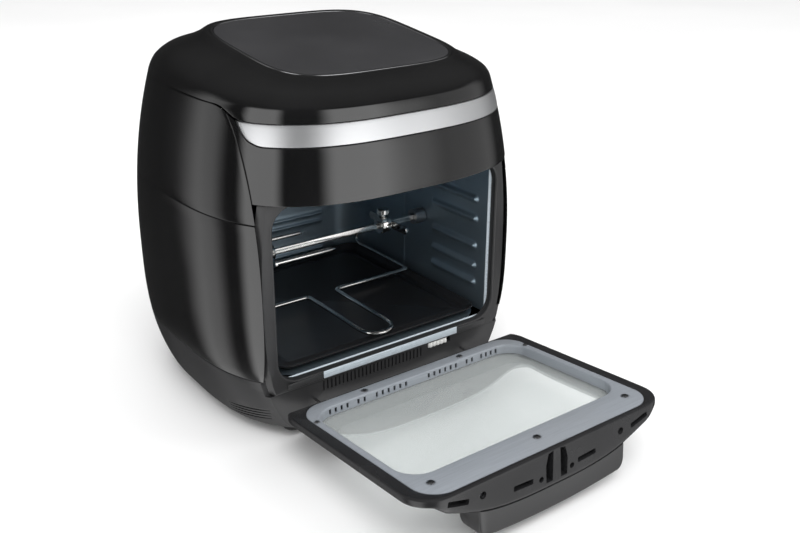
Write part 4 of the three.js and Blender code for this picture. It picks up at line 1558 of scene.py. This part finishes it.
@dataclass
class Rotisserie(SubAssembly):
    """The spit with its two forks and their thumbscrews."""

    body: str = "spit"
    y: float = -8.0
    z: float = 132.0
    bar: float = 6.0
    hub: float = 9.0
    hub_x: float = 62.0
    hub_length: float = 14.0
    reach: float = 28.0
    tine: float = 60.0
    tine_radius: float = 2.0

    def build(self) -> None:
        """Build the rod, forks and screws."""
        half, y, z = self.bar / 2, self.y, self.z
        rod = block((-104, 114.5), (y - half, y + half), (z - half, z + half))
        end = turned([(1.6, -116.5), (2.8, -115.3), (2.8, -104.5), (2.8, -103)], "x", (y, z), 28)
        self.place("spit_bar", rod.with_(end), CHROME, "chrome", ["spit_rod"], bevel=0.45, bevel_from=60)
        for side in Side:
            self.build_fork(side)

    def build_fork(self, side: Side) -> None:
        """Build one fork and its screw.

        Args:
            side: The fork's side.
        """
        s, y, z = side.value, self.y, self.z
        near, far = self.hub_x, self.hub_x + self.hub_length
        inner, wide = 4.6, self.hub
        run = [(inner, near), (8.4, near), (wide, near + 0.8), (wide, far - 3.6), (inner, far - 3.6)]
        hub = turned([(r, x * s) for r, x in run], "x", (y, z), 40)
        plate = []
        for x in (far - 3.0, far - 2.6, far - 0.4, far):
            r = 3.6 if x in (far - 3.0, far) else 4.0
            long = self.reach + 4 - (4.0 - r)
            plate.append([(x * s, y + v, z + w) for v, _, w in rounded_plate(long, -r, r, r * 0.95, 0, 8, 4)])
        bore = block(tuple(sorted((s * (near - 5), s * (far + 5)))), (y - 3.4, y + 3.4), (z - 3.4, z + 3.4))
        fork = hub.with_(Mould().stack(plate))
        for offset in (-self.reach, self.reach):
            tip, thick = far - self.tine, self.tine_radius
            run = [(thick, far - 1.0), (thick, tip), (1.5, tip - 3), (0.35, tip - 8)]
            fork.with_(turned([(r, x * s) for r, x in run], "x", (y + offset, z), 20))
        hole = turned([(3.3, z + 2), (3.3, z + 20)], "z", ((near + self.hub_length / 2 - 1.5) * s, y), 28)
        self.place(f"fork_{side.word}", fork, CHROME, "chrome", [f"spit_fork_{side.word}"], [bore, hole], 0.25, 55)
        centre = ((self.hub_x + self.hub_length / 2 - 1.5) * s, y)
        profile = [(2.2, 3.6), (3.0, 4.2), (3.0, 10.5), (4.4, 10.5), (5.6, 11)]
        profile += [(6.2, 11.6), (6.2, 15.6), (5.6, 16.4), (4.6, 16.8)]
        screw = turned([(r, z + up) for r, up in profile], "z", centre, 36)
        grooves = []
        for i in range(18):
            a = 2 * math.pi * i / 18
            cx, cy = centre[0] + 6.4 * math.cos(a), centre[1] + 6.4 * math.sin(a)
            grooves.append(turned([(0.45, z + 11.2), (0.45, z + 16.2)], "z", (cx, cy), 8))
        tool = grooves[0].with_(*grooves[1:])
        self.place(f"thumbscrew_{side.word}", screw, CHROME, "chrome", [f"fork_screw_{side.word}"], [tool], sharp=40)


@dataclass
class DripTray(SubAssembly):
    """The coated tray on the cavity's floor."""

    body: str = "tray"
    half_width: float = 113.0
    front: float = -107.0
    back: float = 112.0
    low: float = 59.5
    high: float = 66.0

    def ring(self, inset: float, z: float) -> Ring:
        """A ring of the tray's outline, drawn in."""
        return flat_plate(self.half_width - inset, self.front + inset, self.back - inset, 14 - inset * 0.6, z)

    def build(self) -> None:
        """Build the tray with its pressed floor and rolled rim."""
        low, high = self.low, self.high
        profile = [(10, low), (6.2, low), (5.2, low + 0.3), (4.5, low + 1.1), (1.4, high - 1.8), (0.3, high - 1.2)]
        profile += [(0.0, high - 0.7), (0.2, high - 0.2), (0.8, high), (1.5, high - 0.2), (1.8, high - 0.8)]
        profile += [(5.0, low + 2.2), (5.8, low + 1.4), (7.0, low + 1.1), (14, low + 1.0)]
        profile += [(15, low + 1.5), (17, low + 1.5), (18, low + 1.0)]
        tray = Mould().stack([self.ring(inset, z) for inset, z in profile])
        self.place("crumb_tray", tray, NON_STICK, "non_stick", ["drip_tray"], sharp=50)


@dataclass
class LiftTool(SubAssembly):
    """The wire frame that lifts the spit out, laid on the tray's rim."""

    body: str = "tool"
    radius: float = 2.2
    half_width: float = 109.0
    cross_y: float = 4.0
    hook_y: float = 96.0
    grip_y: float = -104.0
    grip_half: float = 16.0
    z: float = 68.5

    def half_path(self) -> list[Point]:
        """The wire's bends from the middle of the grip to the right-hand hook."""
        x, y, g, z, c = self.half_width, self.cross_y, self.grip_half, self.z, 8.0
        return [
            (0, self.grip_y, z),
            (g * 0.72, self.grip_y + g * 0.3, z),
            (g, self.grip_y + g, z),
            (g, self.grip_y + g + 30, z),
            (g, y - c, z),
            (g + 2, y - 2, z),
            (g + c, y, z),
            (x * 0.6, y, z),
            (x - c, y, z),
            (x - 2.4, y + 2.4, z),
            (x, y + c, z),
            (x, self.hook_y - 40, z),
            (x, self.hook_y - 14, z),
            (x, self.hook_y, z),
            (x, self.hook_y + 6.4, z + 6),
            (x, self.hook_y + 4, z + 12.6),
        ]

    def build(self) -> None:
        """Build the whole frame in one wire."""
        half = self.half_path()
        knots = [(-x, y, z) for x, y, z in reversed(half)] + half[1:]
        frame_wire = wire(smooth_run(knots, 6), self.radius, 16)
        self.place("lift_frame", frame_wire, CHROME, "chrome", ["lift_tool"], sharp=60)


# The door, drawn shut -------------------------------------------------------------------------


@dataclass
class Door(SubAssembly):
    """The fold-down door: crowned frame, steel inner panel, two panes, seal, handle and screws."""

    body: str = "door"
    half_width: float = 130.6
    low: float = 17.5
    high: float = 219.5
    radius: float = 26.0
    inset: float = 5.0
    face: float = -119.0
    window: tuple[float, float, float, float] = (113.0, 44.5, 183.5, 22.0)
    well: float = 9.0
    grip_corner: float = 7.0
    pane: tuple[float, float, float, float] = (108.0, 62.0, 176.0, 18.0)
    vent_places: tuple[float, ...] = (13.0, 19.4, 25.8, 32.2, 38.6, 45.0, 58.0, 64.6, 76.0, 82.0, 88.0, 94.0)

    def outline(self, inset: float) -> Ring:
        """The door's outline, drawn in, in its inner face's plane."""
        low, high = self.low + inset, self.high - inset
        return rounded_plate(self.half_width - inset, low, high, self.radius - inset * 0.8, self.face, 12, 16)

    def crown(self, x: float, z: float) -> float:
        """Where the door's outer face is, in y."""
        dome = FORM.front(x, z, self.inset)
        edge = max(abs(x) - 104.0, 0.0) / 14.0
        flat = -134.0 + 8.0 * ease(edge, 0.0, 1.0)
        gap = dome - flat
        if gap < -6:
            return dome
        if gap > 6:
            return flat
        return (dome + flat) / 2 - (6 + gap * gap / 6) / 4

    def at(self, ring: Ring, rise: Callable[[float, float], float]) -> Ring:
        """A ring with its y set from x and z."""
        return [(x, rise(x, z), z) for x, _, z in ring]

    def build(self) -> None:
        """Build every piece of the door."""
        self.build_frame()
        self.build_panel()
        self.build_panes()
        self.build_handle()
        self.build_screws()

    def build_frame(self) -> None:
        """Build the moulded frame with its edge slots, latch pockets and hinge room."""
        face, crown = self.face, self.crown
        hole = rounded_plate(108.3, 61.7, 176.3, 18.0, 0, 12, 16)
        edge = [(2.4, 0.0), (1.3, -0.25), (0.5, -0.9), (0.1, -1.8), (0.0, -3.0)]
        rings = [[(x, face + dy, z) for x, _, z in self.outline(i)] for i, dy in edge]

        def rolled(back: float) -> Callable[[float, float], float]:
            """Depth of the edge's rolling, less where the door is thin."""
            return lambda x, z: crown(x, z) + back * min(1.0, (face - 3.2 - crown(x, z)) / 11)

        rings.append(self.at(self.outline(0.0), lambda x, z: (face - 3 + rolled(5.0)(x, z)) / 2))
        for inset, back in ((0.0, 5.0), (0.5, 2.6), (1.5, 1.1), (3.0, 0.35), (5.0, 0.0)):
            rings.append(self.at(self.outline(inset), rolled(back)))
        start = self.outline(5.0)
        for k in range(1, 8):
            share = k / 8
            ring = [(a[0] + (b[0] - a[0]) * share, 0.0, a[2] + (b[2] - a[2]) * share) for a, b in zip(start, hole)]
            rings.append(self.at(ring, crown))
        rings.append(self.at(hole, lambda x, z: crown(x, z) + 0.1))
        rings.append(self.at(hole, lambda x, z: -132.0))
        well = rounded_plate(115, 42.3, 185.7, 23, 0, 12, 16)
        seat = rounded_plate(119.9, 32.1, 214.9, 22.3, 0, 12, 16)
        rings.append(self.at(well, lambda x, z: -132.0))
        rings.append(self.at(well, lambda x, z: face - 1.6))
        rings.append(self.at(seat, lambda x, z: face - 1.6))
        rings.append(self.at(seat, lambda x, z: face - 0.35))
        rings.append([(x * 1.003, face, z + (0.4 if z > 120 else -0.4)) for x, _, z in seat])
        cutters = [self.hinge_room(), *self.ear_notches(), *self.edge_cuts()]
        self.place(
            "door_rim",
            Mould().stack(rings, loop=True),
            RIM_BLACK,
            "gloss_black",
            ["door_frame"],
            cutters,
            turn=HINGE.opened(),
            sharp=40,
        )

    def hinge_room(self) -> Mould:
        """What is cut away behind the hinge line, so that the lower edge rolls past the base."""
        y, z, r = HINGE.y, HINGE.z, 12.0
        run = [(y, 0.0), (-100.0, 0.0), (-100.0, z + 6)]
        last = math.asin(6 / r)
        angles = [last + (-math.pi / 2 - last) * i / 16 for i in range(17)]
        run += [(y + r * math.cos(a), z + r * math.sin(a)) for a in angles]
        return Mould().stack([[(x, a, b) for a, b in run] for x in (-150.0, 150.0)])

    def ear_notches(self) -> list[Mould]:
        """Room for the hinge arms' eyes."""
        cuts = []
        for side in Side:
            x = sorted((side.value * 79.0, side.value * 89.0))
            cuts.append(block((x[0], x[1]), (-152, -100), (0, HINGE.z + 13)))
        return cuts

    def edge_cuts(self) -> list[Mould]:
        """Slots, screw holes and blade-shaped latch pockets in the door's upper edge."""
        cuts = []
        for x, y, lean in ((-98.0, -127.6, 15.0), (-35.0, -138.2, 3.0), (33.0, -138.2, -3.0), (94.0, -128.4, -14.0)):
            turn = Matrix.Translation((x, y, 0)) @ Matrix.Rotation(math.radians(-lean), 4, "Z")
            outline = rounded_plate(10.0, -2.3, 2.3, 1.2, 0, 4, 2)
            slot = Mould().stack([[(a, c, z) for a, _, c in outline] for z in (213.5, 225.0)])
            cuts.append(slot.moved(turn))
        for x, y, r in ((-16.5, -140.8, 2.4), (16.5, -140.8, 2.4), (-75.0, -130.4, 3.1), (72.0, -130.8, 3.1)):
            cuts.append(turned([(r, 216.2 if r > 3 else 212.0), (r, 225)], "z", (x, y), 28))
        for side in Side:
            s = side.value
            run = [(3.6, -120.5), (9.0, -121.5), (11.6, -131.0), (11.2, -146.0), (4.4, -146.0), (4.0, -132.0)]
            blade = [(x * s, y) for x, y in run]
            cuts.append(Mould().stack([[(x, y, z) for x, y in blade] for z in (209.0, 225.0)]))
        return cuts

    def build_panel(self) -> None:
        """Build the inner panel with its window well and the well's vent slots."""
        face = self.face
        half, low, high, radius = self.window
        skin = 1.2

        def edge(inset: float, y: float) -> Ring:
            """The panel's outer edge."""
            return rounded_plate(119.5 - inset, 32.5 + inset, 214.5 - inset, 22 - inset, y, 12, 16)

        def well(grown: float, y: float) -> Ring:
            """The well's edge."""
            return rounded_plate(half + grown, low - grown, high + grown, radius + grown * 0.7, y, 12, 16)

        rings = [
            edge(0.0, face - skin),
            edge(0.0, face - 0.45),
            edge(0.12, face - 0.15),
            edge(0.45, face),
            well(1.6, face),
            well(0.9, face - 0.1),
            well(0.35, face - 0.45),
            well(0.05, face - 1.1),
            well(0.0, face - 2.0),
            well(0.0, face - self.well + 0.3),
            well(skin, face - self.well + 0.3),
            well(skin + 0.4, face - skin),
        ]
        slots = []
        for x in (*self.vent_places, *(-p for p in self.vent_places)):
            slots.append(block((x - 1.15, x + 1.15), (face - 7.2, face - 2.6), (low - 4, low + 2)))
        cuts = slots[0].with_(*slots[1:])
        dishes = []
        for _, x, z, head in PANEL_SCREWS:
            dishes.append(turned([(head + 0.5, face - 0.45), (head + 1.5, face + 1)], "y", (x, z), 32))
        dish = dishes[0].with_(*dishes[1:])
        self.place(
            "door_panel",
            Mould().stack(rings, loop=True),
            DOOR_SHEET,
            "door_sheet",
            ["inner_panel"],
            [cuts, dish],
            turn=HINGE.opened(),
            sharp=40,
        )

    def build_panes(self) -> None:
        """Build the flat inner pane and the crowned outer pane, and dress the seal between them."""
        half, low, high, radius = self.window
        y = self.face - self.well

        def flat(inset: float, at: float) -> Ring:
            """A ring of the inner pane."""
            return rounded_plate(half + 1.4 - inset, low - 1.4 + inset, high + 1.4 - inset, radius, at, 10, 8)

        pane = [flat(0.4, y), flat(0.1, y - 0.1), flat(0.0, y - 0.4), flat(0.0, y - 2.1), flat(0.4, y - 2.5)]
        glass = Mould().stack(pane)
        self.place("inner_pane", glass, CLEAR_GLASS, "clear_glass", ["inner_glass"], turn=HINGE.opened())
        half, low, high, radius = self.pane
        middle = (low + high) / 2
        outline = rounded_plate(half, low, high, radius, 0, 10, 10)

        def shell(share: float, inset: float) -> Ring:
            """A ring of the outer pane, shrunk towards its middle."""
            ring = [(x * share, middle + (z - middle) * share) for x, _, z in outline]
            return [(x, FORM.front(x, z, inset), z) for x, z in ring]

        shares = [0.02, 0.2, 0.4, 0.6, 0.8, 0.94, 1.0]
        rings = [shell(s, self.inset + 2.4) for s in shares] + [shell(s, self.inset + 0.05) for s in reversed(shares)]
        glass = Mould().stack(rings)
        self.place("outer_pane", glass, CLEAR_GLASS, "clear_glass", ["outer_glass"], turn=HINGE.opened())
        self.dress(RUBBER, "glass_seal")
        self.dress(DULL_STEEL, "hinge_pin_left", "hinge_pin_right")

    def grip(self, half: float, front: float, z: Flat, roll: float, reach: float) -> Mould:
        """A bar whose front stands out in its middle, with rolled edges.

        Args:
            half: Half its width.
            front: Its foremost point in y.
            z: Its lower and upper faces.
            roll: Radius of its edges.
            reach: How far its root stands inside the door's face.

        Returns:
            The bar.
        """
        stations = []
        count = 60
        for i in range(count + 1):
            share = (1 - math.cos(math.pi * i / count)) / 2
            x = -half + 2 * half * share
            nose = front + 4 - 16 * share * (1 - share)
            end = min(share, 1 - share) * 2 * half
            near = max(0.0, 1 - end / self.grip_corner)
            short = roll * (1 - math.sqrt(1 - near**2)) * 0.8
            nose += self.grip_corner * (1 - math.sqrt(1 - near**2))
            root = FORM.front(x, (z[0] + z[1]) / 2, self.inset) + reach
            section = [(root, z[0] + short * 0.6), (root, z[1] - short * 0.6)]
            for corner, start in ((z[1] - short * 0.6 - roll, 90), (z[0] + short * 0.6 + roll, 180)):
                for k in range(6):
                    a = math.radians(start + 18 * k)
                    section.append((nose + short + roll + roll * math.cos(a), corner + roll * math.sin(a)))
            stations.append([(x, a, b) for a, b in section])
        return Mould().stack(stations)

    def build_handle(self) -> None:
        """Build the handle with its finger pocket."""
        bar = self.grip(78.0, -171.0, (194.0, 219.0), 3.2, 2.5)
        pocket = self.grip(70.0, -167.0, (190.0, 215.0), 2.0, 5.0)
        self.place(
            "pull_handle",
            bar,
            SATIN_GREY,
            "satin_grey",
            ["door_handle"],
            [pocket],
            turn=HINGE.opened(),
            sharp=45,
        )

    def build_screws(self) -> None:
        """Build the panel's cross-head screws."""
        y = self.face
        for where, x, z, head in PANEL_SCREWS:
            profile = [(1.2, y - 6), (1.2, y - 0.6), (head * 0.95, y - 0.5), (head, y - 0.3), (head, y + 0.1)]
            profile += [(head * 0.92, y + 0.5), (head * 0.7, y + 0.85), (head * 0.35, y + 1.05), (0.3, y + 1.1)]
            screw = turned(profile, "y", (x, z), 28)
            arm, thick = head * 0.55, head * 0.13
            cuts = [
                block((x - arm, x + arm), (y + 0.35, y + 2), (z - thick, z + thick)),
                block((x - thick, x + thick), (y + 0.35, y + 2), (z - arm, z + arm)),
            ]
            self.place(
                f"screw_{where}",
                screw,
                SCREW_STEEL,
                "steel",
                [f"panel_screw_{where}"],
                cuts,
                turn=HINGE.opened(),
                sharp=40,
            )
        for side, x in ((Side.LEFT, -75.0), (Side.RIGHT, 72.0)):
            cap = turned([(2.7, 215.0), (2.9, 216.0), (2.7, 216.6), (1.6, 217.0), (0.3, 217.1)], "z", (x, -130.6), 24)
            cuts = [block((x - 1.7, x + 1.7), (-131.0, -130.2), (216.4, 218))]
            cuts.append(block((x - 0.4, x + 0.4), (-132.3, -128.9), (216.4, 218)))
            self.place(f"rim_screw_{side.word}", cap, SCREW_STEEL, "steel", [], cuts, turn=HINGE.opened())


PANEL_SCREWS: tuple[tuple[str, float, float, float], ...] = (
    ("front_left", -104.0, 195.5, 3.2),
    ("front_middle", 0.0, 197.5, 3.2),
    ("front_right", 104.0, 195.5, 3.2),
    ("side_left", -116.9, 61.0, 2.2),
    ("side_right", 116.9, 61.0, 2.2),
    ("hinge_left", -54.0, 38.5, 3.0),
    ("hinge_right", 54.0, 38.5, 3.0),
)


# The studio -----------------------------------------------------------------------------------


@dataclass
class Studio:
    """Pale floor, soft light and the camera."""

    eye: Point = (-0.47430, -0.67692, 0.47385)
    azimuth_deg: float = 36.77
    down_deg: float = 22.71
    roll_deg: float = 0.28
    lens_mm: float = 43.74
    floor_half: float = 30.0

    def build(self) -> None:
        """Build floor, light and camera."""
        bpy.context.scene.view_settings.view_transform = "Standard"
        self.build_floor()
        self.build_surroundings()
        self.build_lamps()
        self.build_camera()

    def build_floor(self) -> None:
        """Build the floor, with a soft mottle in its paint."""
        mesh = bpy.data.meshes.new("studio_floor")
        h = self.floor_half
        mesh.from_pydata([(-h, -h, 0), (h, -h, 0), (h, h, 0), (-h, h, 0)], [], [(0, 1, 2, 3)])
        floor = bpy.data.objects.new("studio_floor", mesh)
        bpy.context.scene.collection.objects.link(floor)
        recipe = Recipe("pale_floor")
        cloud = recipe.ramp(recipe.noise(1.5, 3.0), 0.3, 0.7)
        sockets = {
            "Base Color": recipe.mix(cloud, (0.9, 0.9, 0.9), (0.92, 0.92, 0.92)),
            "Roughness": cloud * 0.1 + 0.7,
            "Specular IOR Level": 0.1,
        }
        mesh.materials.append(recipe.finish(recipe.node("ShaderNodeBsdfPrincipled", inputs=sockets).outputs["BSDF"]))
        floor.visible_glossy = False

    def build_surroundings(self) -> None:
        """Build the even light all round, and the soft boxes and flags that gloss mirrors."""
        recipe = Recipe("studio", world=True)
        bpy.context.scene.world = recipe.material
        way = recipe.node("ShaderNodeTexCoord").outputs["Generated"]
        split = recipe.node("ShaderNodeSeparateXYZ", inputs={0: way})
        x, y, z = (Flow(recipe, split.outputs[i]) for i in range(3))
        turn = recipe.node("ShaderNodeMath", {"operation": "ARCTAN2"}, {0: x, 1: y * -1.0}).outputs[0]
        azimuth = Flow(recipe, turn) * (180 / math.pi)

        def strip(low: float, high: float, soft: float) -> Flow:
            """A soft-edged upright strip between two bearings, 0 straight in front and 90 to the right."""
            return recipe.ramp(azimuth, low - soft, low + soft) * (1 - recipe.ramp(azimuth, high - soft, high + soft))

        boxes = strip(-7.0, 34.0, 9.0) * 1.8 + strip(34.0, 84.0, 12.0) * 0.42
        boxes = boxes + strip(-96.0, -54.0, 7.0) * 1.6 + strip(-146.0, -119.0, 9.0) * 0.6
        low = 1 - recipe.ramp(z, 0.36, 0.56)
        below = recipe.ramp(z, -0.45, -0.9) * 0.3
        above = recipe.ramp(z, 0.3, 0.95) * 0.1
        mirrored = boxes * low + below + above + 0.025
        rays = recipe.node("ShaderNodeLightPath")
        glossy = Flow(recipe, rays.outputs["Is Glossy Ray"])
        strength = glossy * mirrored + (1 - glossy) * 0.95
        sky = recipe.node("ShaderNodeBackground", inputs={"Color": (1.0, 1.0, 1.0, 1.0), "Strength": strength})
        recipe.node("ShaderNodeOutputWorld", inputs={"Surface": sky.outputs[0]})

    def build_lamps(self) -> None:
        """Build the large soft lamps."""
        self.lamp("key_lamp", (-0.7, -1.4, 2.3), (0, 0, 0.1), 1.6, 34.0)
        self.lamp("fill_lamp", (1.9, -1.3, 1.4), (0, 0, 0.15), 1.4, 14.0)
        self.lamp("back_lamp", (0.3, 1.9, 1.9), (0, 0, 0.25), 1.2, 9.0)

    def lamp(self, name: str, at: Point, to: Point, size: float, power: float) -> None:
        """Build one soft lamp.

        Args:
            name: The lamp's name.
            at: Where it hangs.
            to: What it points at.
            size: Its side, in metres.
            power: Its power, in watts.
        """
        data = bpy.data.lights.new(name, "AREA")
        data.energy, data.size = power, size
        lamp = bpy.data.objects.new(name, data)
        lamp.location = at
        lamp.rotation_euler = (Vector(to) - Vector(at)).to_track_quat("-Z", "Y").to_euler()
        lamp.visible_glossy = False
        bpy.context.scene.collection.objects.link(lamp)

    def build_camera(self) -> None:
        """Build the camera."""
        a, p, r = (math.radians(v) for v in (self.azimuth_deg, self.down_deg, self.roll_deg))
        ahead = Vector((math.sin(a) * math.cos(p), math.cos(a) * math.cos(p), -math.sin(p)))
        right = Vector((math.cos(a), -math.sin(a), 0))
        up = right.cross(ahead)
        side = right * math.cos(r) + up * math.sin(r)
        rise = up * math.cos(r) - right * math.sin(r)
        data = bpy.data.cameras.new("camera")
        data.lens, data.sensor_width = self.lens_mm, 36.0
        data.clip_start, data.clip_end = 0.01, 100.0
        camera = bpy.data.objects.new("camera", data)
        turn = Matrix((side, rise, -ahead)).transposed()
        camera.matrix_world = Matrix.Translation(self.eye) @ turn.to_4x4()
        bpy.context.scene.collection.objects.link(camera)
        bpy.context.scene.camera = camera


def main() -> None:
    """Build every sub-assembly in order, then the studio."""
    logging.basicConfig(level=logging.INFO, format="%(name)s %(message)s")
    housing = Housing()
    housing.build()
    housing.build_feet()
    housing.dress_frame()
    Lid().build(housing)
    Front().build(housing)
    Opening().build()
    ReleaseThumb().build()
    Latch().build()
    Cavity().build()
    Blower().build()
    Drive().build()
    Rotisserie().build()
    DripTray().build()
    LiftTool().build()
    Door().build()
    Studio().build()


if __name__ == "__main__":
    main()
